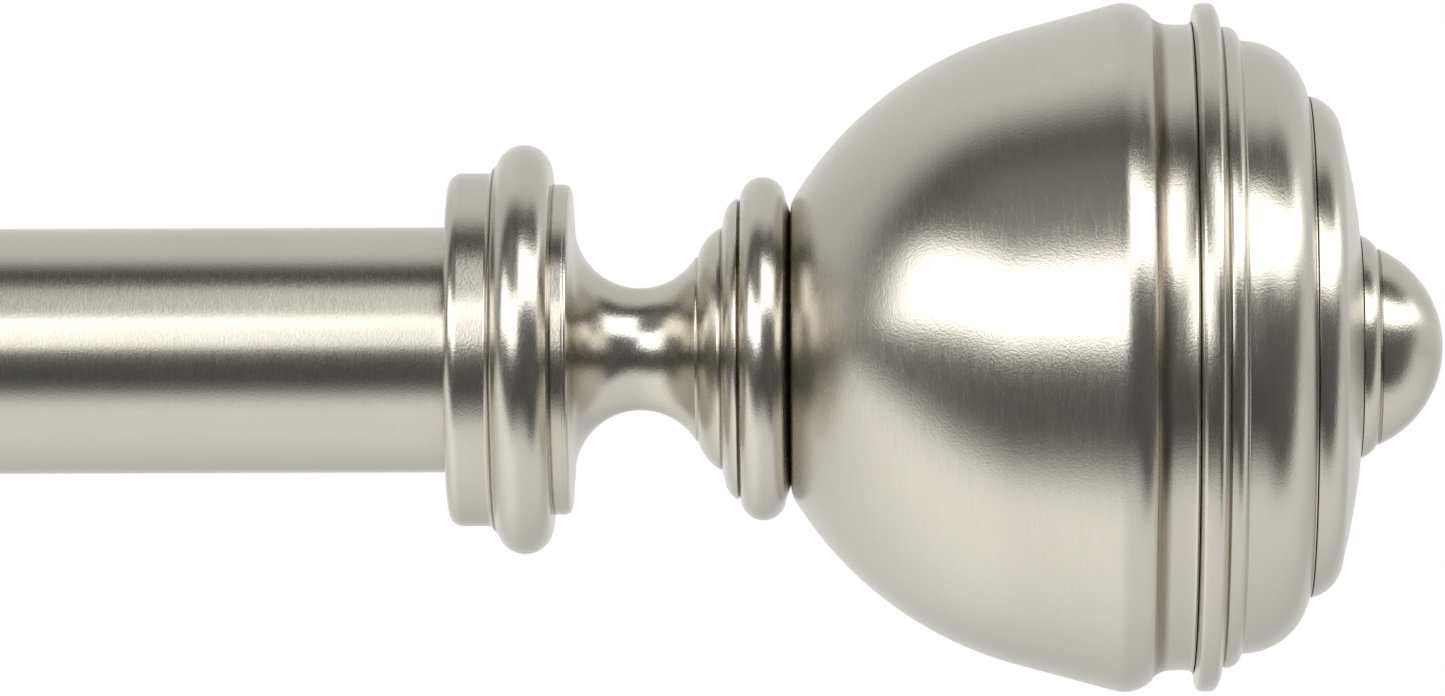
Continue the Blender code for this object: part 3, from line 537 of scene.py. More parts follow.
def base_mesh():
    """Collar, bead, ledge, cove, two steps, disc bead, then the rod's socket and stud's hole."""
    hole_r = STUD_R + GAP
    land = [(hole_r, BASE_LAND_END), (BASE_LAND_R, BASE_LAND_END)]
    land.append((BASE_LAND_R + 0.25 * MM, BASE_LAND_END - 0.1 * MM))
    outline = (
        land
        + arc(DISC_BEAD_AT, DISC_BEAD_MIDDLE_R, DISC_BEAD_ROUND, 84, -84)
        + in_mm(STEP_TWO_CORNER)
        + arc(STEP_TWO_AT, STEP_TWO_MIDDLE_R, STEP_TWO_ROUND, -26, -77)
        + in_mm(STEP_ONE_CORNER)
        + arc(STEP_ONE_AT, STEP_ONE_MIDDLE_R, STEP_ONE_ROUND, -33, -75)
        + arc(COVE_AT, COVE_MIDDLE_R, COVE_ROUND, 122, 268)
        + in_mm(LEDGE)
        + arc(BEAD_AT, BEAD_MIDDLE_R, BEAD_ROUND, 84, -68)
        + in_mm(COLLAR_GROOVE)
        + [(COLLAR_R, COLLAR_END)]
        + arc(COLLAR_ROUND, COLLAR_R - COLLAR_ROUND, COLLAR_ROUND, 0, -90)
        + [(SOCKET_R, 0), (SOCKET_R, SOCKET_DEPTH), (hole_r, SOCKET_DEPTH)]
    )
    body = turned_ring("finial_base", outline, 0.10 * MM, 160)
    bore_r = SMALL_SCREW_R + SMALL_SCREW_PLAY
    hole = turned("hole", [(0, 30 * MM), (bore_r, 30 * MM), (bore_r, 0), (0, 0)], 48)
    where = Matrix.Translation((0, 0, BEAD_AT)) @ INTO_WALL.to_matrix().to_4x4()
    return combined(body, ("DIFFERENCE", hole, where))


def bell_outline(inset):
    """The bell's skin, moved inwards by inset, from its band back to its closed end."""
    flare = FLARE_ROUND - inset
    start, end = BELL_START + inset - FLARE_AT, FLARE_END - FLARE_AT
    angles = [math.degrees(math.asin(s / flare)) for s in (end, start)]
    band_r = BAND_R - inset
    # The band is a little hollow, and turns up towards the ring
    band = [(band_r + 0.36 * MM, BELL_END), (band_r + 0.16 * MM, BELL_END - 0.16 * MM)]
    for place in (76.4 * MM, 76.0 * MM, 75.6 * MM, 75.2 * MM):
        band.append((band_r + (place - BAND_AT) ** 2 / (2 * BAND_ROUND), place))
    return (
        band
        + arc(HOLLOW_AT, HOLLOW_MIDDLE_R, HOLLOW_ROUND + inset, 180, 180 + LIP_TURN)
        + arc(LIP_AT, LIP_MIDDLE_R, LIP_ROUND - inset, LIP_TURN, -15)
        + arc(FLARE_AT, FLARE_MIDDLE_R, flare, *angles)
    )


def bell_mesh():
    hole_r = STUD_R + GAP
    outer, inner = bell_outline(0), list(reversed(bell_outline(BELL_WALL)))
    corner = softened(outer[-2:] + [(hole_r, BELL_START)], 2.5 * MM)
    outline = outer[:-2] + corner + [(hole_r, BELL_START + BELL_WALL)] + inner
    return turned_ring("finial_bell", outline, 0.12 * MM, 192)


def dome_mesh():
    """The front cap: ring, step and rounded shoulder, and a skirt that centres it in the bell."""
    hole_r = STUD_R + GAP
    face = DISC_START - 0.10 * MM
    skirt_r = BAND_R - BELL_WALL - 2 * GAP
    inside_r = SHOULDER_MIDDLE_R + SHOULDER_ROUND - DOME_WALL
    outline = (
        [(hole_r, face), (25.8 * MM, face), (26.0 * MM, face - 0.06 * MM)]
        + arc(DOME_STEP_END, SHOULDER_MIDDLE_R, SHOULDER_ROUND, 79, 3)
        + [(SHOULDER_MIDDLE_R + SHOULDER_ROUND + 0.05 * MM, DOME_STEP_END - 0.05 * MM)]
        + arc(STEP_BEAD_AT, STEP_BEAD_MIDDLE_R, STEP_BEAD_ROUND, 78, -8)
        + in_mm(RING_FACE)
        + arc(RING_END - RING_ROUND, RING_R - RING_ROUND, RING_ROUND, 62, 6)
        + in_mm(RING_BACK)
        + [(skirt_r, RING_START), (skirt_r, DOME_SKIRT), (inside_r, DOME_SKIRT)]
        + arc(DOME_STEP_END, SHOULDER_MIDDLE_R, SHOULDER_ROUND - DOME_WALL, 0, 90)
        + [(hole_r, face - DOME_WALL)]
    )
    return turned_ring("finial_dome", outline, 0.12 * MM, 192)


def disc_mesh():
    hole_r = STUD_R + GAP
    edge_start = math.degrees(math.asin((DISC_START - DISC_EDGE_AT) / DISC_EDGE_ROUND))
    back = DISC_START - 0.07 * MM
    outline = (
        [(hole_r, DISC_FACE_END), (DISC_FACE_R, DISC_FACE_END)]
        + arc(DISC_FACE_AT, DISC_FACE_MIDDLE_R, DISC_FACE_ROUND, 84.5, 75)
        + arc(DISC_EDGE_AT, DISC_EDGE_MIDDLE_R, DISC_EDGE_ROUND, 74, edge_start)
        + [(DISC_EDGE_MIDDLE_R + 3.95 * MM, back), (hole_r, back)]
    )
    return turned_ring("finial_disc", outline, 0.08 * MM, 160)


def knob_mesh():
    """A ball end on a flared foot with a thin rim, and a blind hole for the stud."""
    hole_r = STUD_R + GAP
    ball_start = math.degrees(math.asin((KNOB_FOOT_END + 0.05 * MM - KNOB_BALL_AT) / KNOB_BALL_R))
    outline = (
        arc(KNOB_BALL_AT, 0, KNOB_BALL_R, 90, ball_start)
        + [(10.02 * MM, KNOB_FOOT_END)]
        + arc(KNOB_FOOT_AT, KNOB_FOOT_MIDDLE_R, KNOB_FOOT_ROUND, 61, 19.4)
        + [(hole_r, KNOB_START), (hole_r, STUD_END + GAP), (0, STUD_END + GAP)]
    )
    return turned("finial_knob", softened(outline, 0.06 * MM), 128)


def set_screw_mesh():
    tip, top = ROD_R + GAP, BEAD_MIDDLE_R + BEAD_ROUND - GAP
    outline = [(0, top), (SMALL_SCREW_R - 0.3 * MM, top), (SMALL_SCREW_R, top - 0.3 * MM)]
    outline += [(SMALL_SCREW_R, tip + 0.6 * MM), (SMALL_SCREW_R - 0.6 * MM, tip), (0, tip)]
    screw = turned("set_screw", softened(outline, 0.05 * MM), 48)
    key = prism("key", hexagon(2 * MM), top - 2.5 * MM, top + GAP)
    return combined(screw, ("DIFFERENCE", key, Matrix()))


def finials():
    meshes = {"base": base_mesh(), "bell": bell_mesh(), "dome": dome_mesh()}
    meshes.update({"disc": disc_mesh(), "knob": knob_mesh()})
    set_screw = set_screw_mesh()
    for side, name in SIDE_NAME.items():
        body, at = f"{name}_finial", COLLAR[side]
        for part, mesh in meshes.items():
            piece(f"{body}_{part}", mesh, body, at, ALONG_ROD[side], "finial_nickel")
        screw = f"{body}_set_screw"
        at = at + Vector((side * BEAD_AT, 0, 0))
        piece(screw, set_screw, screw, at, INTO_WALL, "black_steel")


# ---- rod --------------------------------------------------------------------

def tube_mesh(name, outer, bore, length):
    """A drawn tube with a faint lengthwise seam, on the side away from the room."""
    rows, sides = 24, 144
    seam_at, seam_reach = math.pi / 2, 1.2 * 2 * math.pi / sides
    side = [(outer, length - length * i / rows) for i in range(rows + 1)]
    outline = side + [(bore, 0), (bore, length)]

    def ripple(angle, radius, place):
        off = abs((angle - seam_at + math.pi) % (2 * math.pi) - math.pi)
        return -SEAM_DEPTH * max(0, 1 - off / seam_reach) if radius > outer - 0.1 * MM else 0

    return turned_ring(name, outline, 0.2 * MM, sides, ripple)


def on_axis(node):
    """Where a node on the rod's axis starts, and its length."""
    low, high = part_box(node)
    return Vector((low.x, AXIS_Y, AXIS_Z)), high.x - low.x


def rod():
    for node, body, outer, bore in (
        ("outer_tube", "outer_rod", ROD_R, ROD_BORE_R),
        ("inner_tube", "inner_rod", INNER_ROD_R, INNER_BORE_R),
    ):
        at, length = on_axis(node)
        mesh = tube_mesh(node, outer, bore, length)
        piece(node, mesh, body, at, ALONG_ROD[RIGHT], "rod_nickel")

    # The bush in the outer tube's mouth
    at, length = on_axis("outer_tube_bush")
    bore_r = INNER_ROD_R + BUSH_PLAY
    outside_r = bore_r + BUSH_WALL
    outline = [(outside_r, length), (outside_r, BUSH_FLANGE), (ROD_R, BUSH_FLANGE)]
    outline += [(ROD_R, 0), (bore_r, 0), (bore_r, length)]
    mesh = turned_ring("bush", outline, 0.25 * MM, 128)
    piece("outer_tube_bush", mesh, "outer_rod", at, ALONG_ROD[RIGHT], "black_plastic")

    # The sleeve between the left collar and the thinner tube
    at, length = on_axis("left_finial_reducer")
    bore_r = INNER_ROD_R + GAP
    outline = [(ROD_R, length), (ROD_R, 0), (bore_r, 0), (bore_r, length)]
    mesh = turned_ring("reducer", outline, 0.2 * MM, 128)
    piece("left_finial_reducer", mesh, "left_finial", at, ALONG_ROD[RIGHT], "black_plastic")


# ---- brackets ---------------------------------------------------------------

def plate_mesh():
    face_r = PLATE_R - 2 * PLATE_RIM
    outline = (
        [(0, HUB_T - SPIGOT_DEPTH), (SPIGOT_R, HUB_T - SPIGOT_DEPTH), (SPIGOT_R, HUB_T)]
        + [(HUB_R - 0.8 * MM, HUB_T), (HUB_R, HUB_T - 0.8 * MM), (HUB_R + 0.5 * MM, PLATE_T)]
        + [(face_r, PLATE_T), (face_r + 0.3 * MM, PLATE_T - 0.35 * MM)]
        + arc(PLATE_T - PLATE_RIM / 2, PLATE_R - PLATE_RIM, PLATE_RIM, 156, 0)
        + [(PLATE_R, 0.5 * MM), (PLATE_R - 0.5 * MM, 0), (0, 0)]
    )
    plate = turned("wall_plate", softened(outline, 0.3 * MM), 128)
    sink = WALL_SINK_R - WALL_HOLE_R
    hole = [(0, PLATE_T + GAP), (WALL_SINK_R + 0.1 * MM, PLATE_T + GAP), (WALL_SINK_R, PLATE_T)]
    hole += [(WALL_HOLE_R, PLATE_T - sink), (WALL_HOLE_R, -GAP), (0, -GAP)]
    # OUT_OF_WALL turns local Y to the world's Z
    spots = [Matrix.Translation((0, sign * WALL_HOLE_Z, 0)) for sign in (1, -1)]
    return combined(plate, *[("DIFFERENCE", turned("hole", hole, 48), spot) for spot in spots])


def socket_mesh():
    bore_r = ARM_R + GAP
    foot = HUB_T + GAP
    spigot_r, spigot_end = SPIGOT_R - GAP, HUB_T - SPIGOT_DEPTH + GAP
    outline = (
        [(0, SOCKET_FLOOR), (bore_r, SOCKET_FLOOR), (bore_r, TUBE_END)]
        + arc(TUBE_END - TUBE_BEAD, TUBE_R, TUBE_BEAD, 90, -82)
        + [(TUBE_R, TUBE_END - 2 * TUBE_BEAD - 0.5 * MM), (TUBE_R, foot + TUBE_FOOT + 0.9 * MM)]
        + arc(foot + TUBE_FOOT / 2, TUBE_R + TUBE_FOOT / 2, TUBE_FOOT / 2, 70, -90)
        + [(spigot_r, foot), (spigot_r, spigot_end), (0, spigot_end)]
    )
    socket = turned("socket", softened(outline, 0.35 * MM), 96)
    hole_r = SMALL_SCREW_R + GAP
    hole = turned("hole", [(0, 20 * MM), (hole_r, 20 * MM), (hole_r, 2 * MM), (0, 2 * MM)], 40)
    # Local -Y is down
    where = Matrix.Translation((0, 0, PROJECTION_SCREW_AT)) @ OUT_OF_WALL.to_matrix().to_4x4()
    return combined(socket, ("DIFFERENCE", hole, where))


def arm_mesh():
    low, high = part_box("right_arm")
    near, far = -high.y, -low.y
    hole_r, hole_end = SMALL_SCREW_R + SMALL_SCREW_PLAY, far - 12 * MM
    outline = [(0, hole_end), (hole_r, hole_end), (hole_r, far), (ARM_R - 0.5 * MM, far)]
    outline += [(ARM_R, far - 0.5 * MM), (ARM_R, near), (0, near)]
    return turned("arm", softened(outline, 0.15 * MM), 72)


def screw_head(name, mesh, top, reach):
    """A cross recess in the head of a countersunk screw."""
    low, high = top - 1.5 * reach, top + 0.1 * MM
    recess = prism("recess", cross(reach, 0.32 * reach), low, high, taper=0.45)
    result = combined(mesh, ("DIFFERENCE", recess, Matrix()))
    result.name = name
    return result


def thread(pitch, depth, start, end, shank_r):
    """A ripple that cuts a helical thread into a shank between two places."""
    def ripple(angle, radius, place):
        if abs(radius - shank_r) > 0.01 * MM or not start <= place <= end:
            return 0
        phase = (place / pitch - angle / (2 * math.pi)) % 1
        return -depth * (1 - abs(2 * phase - 1))
    return ripple


def shank(radius, high, low, pitch):
    """Points down a threaded shank, close enough to carry the thread."""
    count = max(2, round((high - low) / pitch * 8))
    return [(radius, high + (low - high) * i / count) for i in range(count + 1)]


def wall_screw_mesh():
    head, sink, radius = PLATE_T - GAP, WALL_SINK_R - WALL_HOLE_R, WOOD_SCREW_R
    tip = head - WOOD_SCREW_LENGTH
    thread_start, thread_end = tip + 5 * MM, head - sink - 1.5 * MM
    outline = (
        [(0, head), (radius + sink - 0.2 * MM, head), (radius, head - sink)]
        + shank(radius, thread_end, thread_start, WOOD_PITCH)
        + [(0, tip)]
    )
    ripple = thread(WOOD_PITCH, 0.45 * MM, thread_start, thread_end, radius)
    screw = turned("screw", outline, 40, ripple=ripple)
    return screw_head("wall_screw", screw, head, 1.9 * MM)


def cradle_screw_mesh(axis_to_wall):
    head, head_r = axis_to_wall - CRADLE_R - GAP, 3.6 * MM
    tip = -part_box("right_cradle_screw")[1].y
    neck = head - 1.9 * MM
    thread_end = neck - 1 * MM
    outline = (
        [(0, head), (head_r - 0.2 * MM, head), (head_r, head - 0.15 * MM)]
        + [(SMALL_SCREW_R, neck)]
        + shank(SMALL_SCREW_R, thread_end, tip, FINE_PITCH)
        + [(0, tip)]
    )
    ripple = thread(FINE_PITCH, 0.22 * MM, tip, thread_end, SMALL_SCREW_R)
    screw = turned("screw", outline, 40, ripple=ripple)
    return screw_head("cradle_screw", screw, head, 1.7 * MM)


def wall_plug_mesh():
    near, far, radius, bore_r = -3 * MM, -30 * MM, 3.0 * MM, 2.2 * MM
    ribs, rise = 9, 0.4 * MM
    step = (near - far - 3 * MM) / ribs
    outline = [(radius, near)]
    for i in range(ribs):
        top = near - 1.5 * MM - i * step
        foot = top - step + 0.3 * MM
        outline += [(radius, top), (radius + rise, foot + 0.2 * MM), (radius, foot)]
    outline += [(radius - 0.6 * MM, far), (bore_r, far), (bore_r, near)]

    def slit(angle, r, place):
        near_slit = abs(math.sin(angle)) < 0.14 and r > bore_r + 0.2 * MM and place < near - 4 * MM
        return -0.5 * MM if near_slit else 0

    return turned_ring("wall_plug", outline, 0.08 * MM, 48, slit)


def knurl(head_r, low, high, teeth, depth):
    """A ripple of straight ridges round a head's rim."""
    def ripple(angle, radius, place):
        if radius < head_r - 0.05 * MM or not low <= place <= high:
            return 0
        return -depth * (0.5 - 0.5 * math.cos(angle * teeth))
    return ripple


def thumb_mesh(name, shank_r, tip, head, head_r, head_t, pitch, bore=None):
    """A knurled thumb screw: threaded shank, a small shoulder, and a dished face on the head."""
    end = head + head_t
    thread_start, thread_end = tip + 0.5 * MM, head - 0.6 * MM
    outline = (
        [(0, end - 0.25 * MM), (head_r - 1.9 * MM, end - 0.25 * MM), (head_r - 1.6 * MM, end)]
        + [(head_r - 0.7 * MM, end), (head_r, end - 0.7 * MM)]
        + [(head_r, end - head_t * i / 6) for i in range(1, 6)]
        + [(head_r, head + 0.7 * MM), (head_r - 0.7 * MM, head)]
        + [(shank_r + 0.6 * MM, head), (shank_r, head - 0.3 * MM)]
        + shank(shank_r, thread_end, thread_start, pitch)
        + [(shank_r - 0.4 * MM, tip)]
    )
    if bore:
        bore_r, depth = bore
        outline += [(bore_r, tip), (bore_r, tip + depth), (0, tip + depth)]
    else:
        outline.append((0, tip))
    cut = thread(pitch, pitch * 0.45, thread_start, thread_end, shank_r)
    ridges = knurl(head_r, head + 0.6 * MM, end - 0.6 * MM, 32, 0.35 * MM)
    return turned(name, outline, 192, ripple=lambda a, r, p: cut(a, r, p) + ridges(a, r, p))


def strap_mesh(name, inner_r, thickness, front, back, width, edge):
    """A bar bent into a U about local X, open towards local +Y, with its front wall at local +Z."""
    middle_r = inner_r + thickness / 2
    bend, straight = 48, 8
    path = [(front - front * i / straight, middle_r, 0.0) for i in range(straight)]
    for i in range(bend + 1):
        a = math.pi * i / bend
        path.append((-middle_r * math.sin(a), middle_r * math.cos(a), a))
    path += [(back * i / straight, -middle_r, math.pi) for i in range(1, straight + 1)]
    corner, half_w, half_t = 6, width / 2, thickness / 2

    def section(inset):
        points = []
        for sx, st, start in ((1, 1, 0), (-1, 1, 90), (-1, -1, 180), (1, -1, 270)):
            for k in range(corner + 1):
                a = math.radians(start + 90 * k / corner)
                x = sx * (half_w - edge) + (edge - inset) * math.cos(a)
                points.append((x, st * (half_t - edge) + (edge - inset) * math.sin(a)))
        return points

    def end_rings(stop, z, turn):
        """Sections that shrink towards an end of the bar, so that it is rounded over."""
        found = [((stop - edge, z, turn), 0)]
        for k in range(1, 6):
            a = math.radians(18 * k)
            spot = (stop - edge * (1 - math.sin(a)), z, turn)
            found.append((spot, edge * (1 - math.cos(a))))
        return found

    between_ends = [
        (spot, 0) for spot in path
        if not (spot[2] == 0.0 and spot[0] > front - edge)
        and not (spot[2] == math.pi and spot[0] > back - edge)
    ]
    rings = end_rings(front, middle_r, 0.0)[::-1] + between_ends
    rings += end_rings(back, -middle_r, math.pi)
    verts, faces = [], []
    count = 4 * (corner + 1)
    for (y, z, a), inset in rings:
        outward = Vector((0, -math.sin(a), math.cos(a)))
        for x, t in section(inset):
            verts.append(Vector((x, y, z)) + outward * t)
    for i in range(len(rings) - 1):
        first, second = i * count, (i + 1) * count
        for j in range(count):
            k = (j + 1) % count
            faces.append((first + j, first + k, second + k, second + j))
    faces.append(tuple(reversed(range(count))))
    faces.append(tuple(range((len(rings) - 1) * count, len(rings) * count)))
    mesh = bpy.data.meshes.new(name)
    mesh.from_pydata(verts, [], faces)
    mesh.flip_normals()
    return smooth(mesh)


def bent_strap(name, inner_r, thickness, edge):
    return strap_mesh(name, inner_r, thickness, CRADLE_FRONT, CRADLE_BACK, CRADLE_WIDTH, edge)


def post(radius, high, low):
    """The outline of a plain cylinder."""
    return [(0, high), (radius, high), (radius, low), (0, low)]


def cradle_mesh():
    strap = bent_strap("cradle", CRADLE_R, CRADLE_T, 0.7 * MM)
    middle_r = CRADLE_R + CRADLE_T / 2
    boss = softened(post(BOSS_R, -middle_r, -BOSS_END), 0.4 * MM)
    nut = softened(post(NUT_BOSS_R, NUT_BOSS_END, middle_r), 0.4 * MM)
    mouth, sunk, end = -CRADLE_R + CRADLE_T / 2, -CRADLE_R - 2.2 * MM, -BOSS_END - GAP
    sink_r, hole_r = 3.9 * MM, SMALL_SCREW_R + SMALL_SCREW_PLAY
    sink = [(0, mouth), (sink_r, mouth), (sink_r, -CRADLE_R - GAP)]
    sink += [(hole_r, sunk), (hole_r, end), (0, end)]
    thumb = post(THUMB_R + GAP, 26 * MM, middle_r - CRADLE_T)
    return combined(
        strap,
        ("UNION", turned("boss", boss, 64), Matrix()),
        ("UNION", turned("nut_boss", nut, 64), Matrix()),
        ("DIFFERENCE", turned("sink", sink, 48), Matrix()),
        ("DIFFERENCE", turned("thumb_hole", thumb, 48), Matrix()),
    )


def liner_mesh():
    liner = bent_strap("liner", LINER_R, LINER_T, 0.35 * MM)
    hole = turned("hole", post(THUMB_R + GAP, 26 * MM, LINER_R - LINER_T), 48)
    return combined(liner, ("DIFFERENCE", hole, Matrix()))


def pad_mesh(face):
    back = face + PAD_T
    stem_r, stem_end = PAD_STEM_R, back + PAD_STEM
    outline = [(0, stem_end), (stem_r, stem_end), (stem_r, back)]
    outline += [(PAD_R, back), (PAD_R, face), (0, face)]
    return turned("pad", softened(outline, 0.25 * MM), 48)


def brackets():
    depth = -AXIS_Y
    plate, socket, arm, cradle = plate_mesh(), socket_mesh(), arm_mesh(), cradle_mesh()
    wall_screw, cradle_screw, plug = wall_screw_mesh(), cradle_screw_mesh(depth), wall_plug_mesh()
    small_thumb = thumb_mesh(
        "projection_screw", SMALL_SCREW_R, ARM_R + GAP, PROJECTION_HEAD_AT,
        PROJECTION_HEAD_R, PROJECTION_HEAD_T, FINE_PITCH,
    )
    for side, name in SIDE_NAME.items():
        wall = WALL[side]
        axis = wall + Vector((0, AXIS_Y, 0))
        fixed, sliding = f"{name}_wall_bracket", f"{name}_arm"
        piece(f"{name}_wall_plate", plate, fixed, wall, OUT_OF_WALL, "bracket_nickel")
        piece(f"{name}_socket", socket, fixed, wall, OUT_OF_WALL, "bracket_nickel")
        for where, sign in (("upper", 1), ("lower", -1)):
            at = wall + Vector((0, 0, sign * WALL_HOLE_Z))
            piece(f"{name}_wall_screw_{where}", wall_screw, fixed, at, OUT_OF_WALL, "zinc_steel")
            piece(f"{name}_wall_plug_{where}", plug, fixed, at, OUT_OF_WALL, "grey_plastic")
        screw, at = f"{name}_projection_screw", wall + Vector((0, -PROJECTION_SCREW_AT, 0))
        piece(screw, small_thumb, screw, at, DOWN, "bracket_nickel")
        piece(f"{name}_arm", arm, sliding, wall, OUT_OF_WALL, "bracket_nickel")
        piece(
            f"{name}_cradle", cradle, sliding, axis, OUT_OF_WALL, "bracket_nickel", STRAP_NICKEL
        )
        piece(f"{name}_cradle_screw", cradle_screw, sliding, wall, OUT_OF_WALL, "zinc_steel")
        face = HELD_R[side] + GAP
        pad = pad_mesh(face)
        piece(f"{name}_clamp_pad", pad, f"{name}_clamp", axis, OUT_OF_WALL, "white_nylon")
        thumb = thumb_mesh(
            f"{name}_thumb", THUMB_R, face + PAD_T + GAP, THUMB_HEAD_AT,
            THUMB_HEAD_R, THUMB_HEAD_T, THUMB_PITCH, bore=(PAD_STEM_R + GAP, PAD_STEM),
        )
        screw = f"{name}_thumb_screw"
        piece(screw, thumb, screw, axis, OUT_OF_WALL, "bracket_nickel")
    axis = WALL[LEFT] + Vector((0, AXIS_Y, 0))
    piece("left_cradle_liner", liner_mesh(), "left_arm", axis, OUT_OF_WALL, "black_plastic")


def carried_over():
    """The CAD nodes that stay: studs and nuts inside the finials, and the glide in the rod."""
    looks = {
        f"{name}_finial_{part}": ZINC for name in SIDE_NAME.values() for part in ("stud", "nut")
    }
    looks["inner_tube_glide"] = BLACK_PLASTIC
    for node, material in looks.items():
        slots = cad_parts[node].data.materials
        slots.clear()
        slots.append(material)


# ---- studio -----------------------------------------------------------------

# Brightness of the room round the rod's axis, by angle in degrees: 0 is into the room, 90 up,
# 180 the wall side and -90 down
ROOM = (
    (-180, 0.90), (-165, 0.72), (-147, 0.60), (-122, 0.71), (-104, 0.80), (-77, 0.87),
    (-54, 0.88), (-46, 0.72), (-41, 0.48), (-36, 0.21), (-31, 0.095), (-24, 0.065), (-14, 0.08),
    (-4, 0.10), (10, 0.11), (45, 0.12), (60, 0.11), (70, 0.055), (77, 0.045), (83, 0.18),
    (89, 0.46), (95, 0.66), (104, 0.72), (122, 0.71), (147, 0.71), (165, 0.80), (180, 0.90),
)
# How many degrees those bounds turn towards either end of the rod: (X of the direction, degrees)
UPPER_TURN = ((-0.9, -11), (-0.54, -10.5), (-0.34, -7), (0, 0), (0.36, -1), (0.68, -25))
LOWER_TURN = ((-0.9, -2), (-0.72, 4), (-0.43, 7), (0, 0), (0.2, 1), (0.45, 6), (0.87, 38))
# How much brighter the upper and the lower half are: (X of the direction, times)
UPPER_GAIN = ((-0.8, 0.88), (-0.4, 1.08), (-0.2, 1.08), (0, 1))
LOWER_GAIN = ((-0.45, 1.27), (0, 1))
# and a dim thing high on the left
DIM_GAIN = ((-0.7, 1.1), (-0.55, 1.5), (-0.42, 2.2), (-0.3, 1.4), (-0.1, 1))
# The two softboxes: azimuth from and to (0 is into the room, 90 is +X), then the elevations of
# the lower and of the upper edge at some azimuths; all in degrees
SOFTBOX_SOFTNESS = 1.2
SOFTBOXES = (
    (-74, -2, ((-50, 6.2), (-29, -1.2), (-5, 3.0)), ((-50, 32), (-29, 27.4), (-5, 33))),
    (2, 112, ((10, 22), (31, 25.7), (72, 17)), ((15, 62), (48, 54), (95, 30))),
)
SOFTBOX_RADIANCE = 2.5


def eased(tree, value, low, high):
    inputs = {"Value": value, "From Min": low, "From Max": high}
    return add(tree, "MapRange", inputs, interpolation_type="SMOOTHSTEP").outputs["Result"]


def along(tree, value, points):
    """A curve through the points: straight between them, level outside."""
    total = points[0][1]
    for (start, at_start), (end, at_end) in zip(points, points[1:]):
        total = maths(tree, "ADD", total, remap(tree, value, start, end, 0, at_end - at_start))
    return total


def between(tree, value, low, high, softness):
    """1 where the value is between two limits, which may vary, and 0 elsewhere."""
    inside = None
    for excess in (maths(tree, "SUBTRACT", value, low), maths(tree, "SUBTRACT", high, value)):
        edge = eased(tree, excess, -softness, softness)
        inside = edge if inside is None else maths(tree, "MULTIPLY", inside, edge)
    return inside


def room():
    """A white studio, dark on the camera's side, with two softboxes. The camera sees white."""
    world = bpy.data.worlds.new("studio")
    bpy.context.scene.world = world
    world.use_nodes = True
    tree = world.node_tree
    tree.nodes.clear()
    split = add(tree, "SeparateXYZ", {"Vector": add(tree, "TexCoord").outputs["Generated"]}).outputs
    forward = maths(tree, "MULTIPLY", split["Y"], -1.0)
    angle = maths(tree, "DEGREES", maths(tree, "ARCTAN2", split["Z"], forward))
    upper = maths(tree, "MULTIPLY", along(tree, split["X"], UPPER_TURN), eased(tree, angle, 30, 80))
    lower = maths(tree, "MULTIPLY", along(tree, split["X"], LOWER_TURN), eased(tree, angle, 0, -25))
    turned_angle = maths(tree, "ADD", angle, maths(tree, "ADD", upper, lower))
    ramp = add(tree, "ValToRGB", {0: remap(tree, turned_angle, -180, 180, 0, 1)})
    gain = 1.0
    high = maths(tree, "MULTIPLY", eased(tree, angle, 30, 55), eased(tree, angle, 97, 78))
    for curve, where in (
        (LOWER_GAIN, eased(tree, angle, 0, -25)),
        (UPPER_GAIN, eased(tree, angle, 80, 95)),
        (DIM_GAIN, high),
    ):
        more = maths(tree, "SUBTRACT", along(tree, split["X"], curve), 1.0)
        gain = maths(tree, "ADD", maths(tree, "MULTIPLY", more, where), gain)
    scaled = {0: ramp.outputs["Color"], "Scale": gain}
    base = add(tree, "VectorMath", scaled, operation="SCALE").outputs["Vector"]
    stops = ramp.color_ramp.elements
    while len(stops) < len(ROOM):
        stops.new(0.5)
    for i, (degrees, value) in enumerate(ROOM):
        stops[i].position = (degrees + 180) / 360
        stops[i].color = (value, value, value, 1)
    azimuth = maths(tree, "DEGREES", maths(tree, "ARCTAN2", split["X"], forward))
    elevation = maths(tree, "DEGREES", maths(tree, "ARCSINE", split["Z"]))
    lamps = None
    for left, right, low_edge, high_edge in SOFTBOXES:
        low, high = along(tree, azimuth, low_edge), along(tree, azimuth, high_edge)
        across = between(tree, azimuth, left, right, SOFTBOX_SOFTNESS)
        upright = between(tree, elevation, low, high, SOFTBOX_SOFTNESS)
        lamp = maths(tree, "MULTIPLY", across, upright)
        lamps = lamp if lamps is None else maths(tree, "ADD", lamps, lamp)
    seen = add(tree, "Mix", data_type="RGBA")
    tree.links.new(lamps, seen.inputs[0])
    tree.links.new(base, seen.inputs[6])
    seen.inputs[7].default_value = (SOFTBOX_RADIANCE, SOFTBOX_RADIANCE, SOFTBOX_RADIANCE, 1)
    lit = add(tree, "Background", {"Color": seen.outputs[2]}).outputs[0]
    white = add(tree, "Background", {"Color": (1, 1, 1, 1)}).outputs[0]
    is_camera = add(tree, "LightPath").outputs["Is Camera Ray"]
    mix = add(tree, "MixShader", {0: is_camera, 1: lit, 2: white}).outputs[0]
    tree.links.new(mix, add(tree, "OutputWorld").inputs["Surface"])


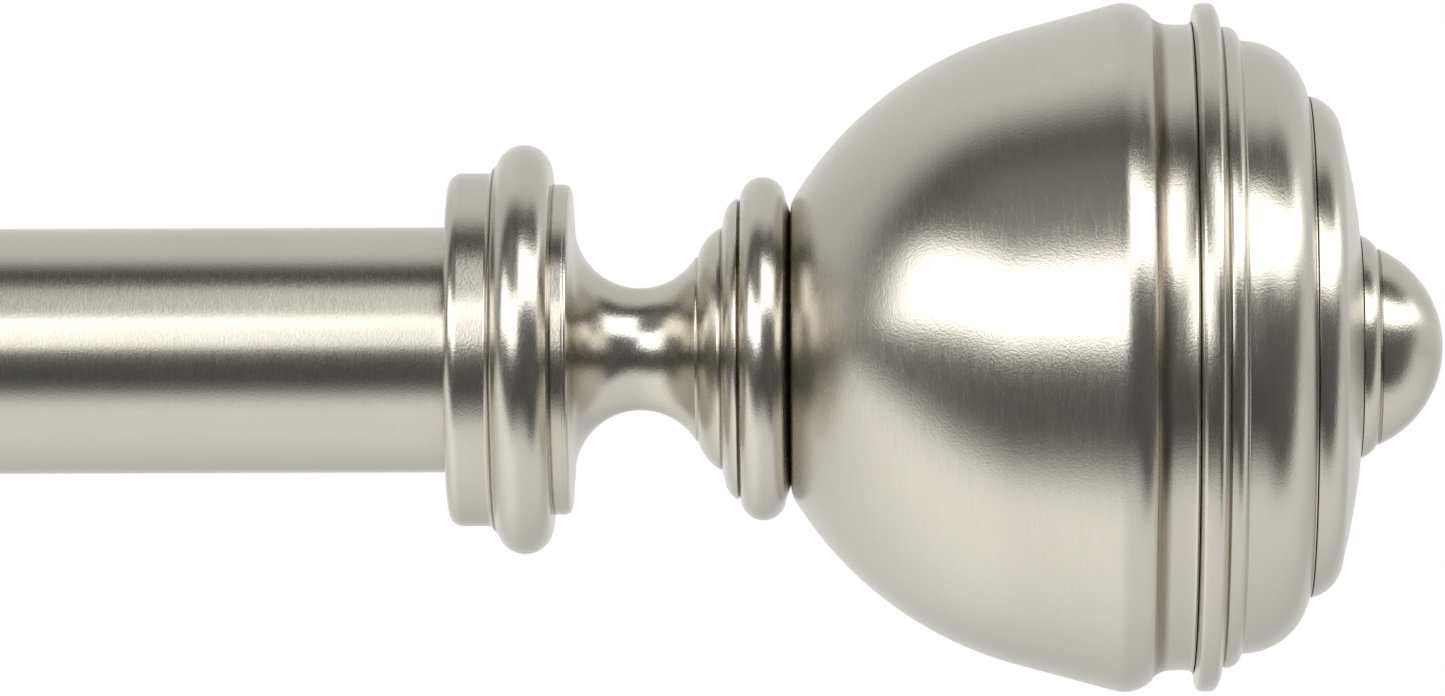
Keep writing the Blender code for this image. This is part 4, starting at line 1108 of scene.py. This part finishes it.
def fill_lamp():
    """A weak wide lamp overhead."""
    light = bpy.data.lights.new("fill", "AREA")
    light.shape = "DISK"
    light.size = 1.5
    light.energy = 3
    obj = placed("fill", light)
    obj.location = COLLAR[RIGHT] + Vector((0.1, 0.2, 2.2))
    obj.visible_camera = False
    obj.visible_glossy = False


def floor():
    """A pale round floor that melts into the white behind it."""
    radius, below, rings = 5.0, 0.30, 24
    mesh = turned("studio_floor", [(radius * i / rings, 0) for i in range(rings, -1, -1)], 96)
    mesh.flip_normals()
    material, tree = blank("studio_floor_paper")[:2]
    place = add(tree, "TexCoord").outputs["Object"]
    away = add(tree, "VectorMath", {0: place}, operation="LENGTH").outputs["Value"]
    fade = remap(tree, away, 0.3 * radius, 0.95 * radius, 0, 1)
    paper = remap(tree, noise(tree, place, 40.0, detail=2), 0.3, 0.7, 0.93, 0.95)
    colour = add(tree, "CombineColor", {"Red": paper, "Green": paper, "Blue": paper}).outputs[0]
    flat = add(tree, "Emission", {"Color": colour, "Strength": 1.0}).outputs[0]
    white = add(tree, "Emission", {"Color": (1, 1, 1, 1), "Strength": 1.0}).outputs[0]
    mix = add(tree, "MixShader", {0: fade, 1: flat, 2: white}).outputs[0]
    tree.links.new(mix, tree.nodes["Material Output"].inputs["Surface"])
    mesh.materials.append(material)
    obj = placed("studio_floor", mesh)
    low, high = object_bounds()
    obj.location = ((low.x + high.x) / 2, (low.y + high.y) / 2, low.z - below)
    obj.visible_glossy = False
    obj.visible_diffuse = False
    obj.visible_shadow = False


def camera():
    data = bpy.data.cameras.new("camera")
    eye = placed("camera", data)
    distance, aim, foot = 1.018, 28.3 * MM, 46.4 * MM
    frame_width = 149.7 * MM
    data.sensor_width = 36
    data.lens = data.sensor_width * distance / frame_width
    data.clip_start, data.clip_end = 0.05, 50
    height = 0.1 * MM
    eye.location = COLLAR[RIGHT] + Vector((foot, -distance, height))
    target = COLLAR[RIGHT] + Vector((aim, 0, height))
    level = (target - eye.location).to_track_quat("-Z", "Y")
    eye.rotation_euler = (level @ Quaternion((0, 0, 1), math.radians(-0.2))).to_euler()
    bpy.context.scene.camera = eye


finials()
rod()
brackets()
carried_over()
camera()
fill_lamp()
room()
floor()
bpy.context.scene.view_settings.view_transform = "Standard"
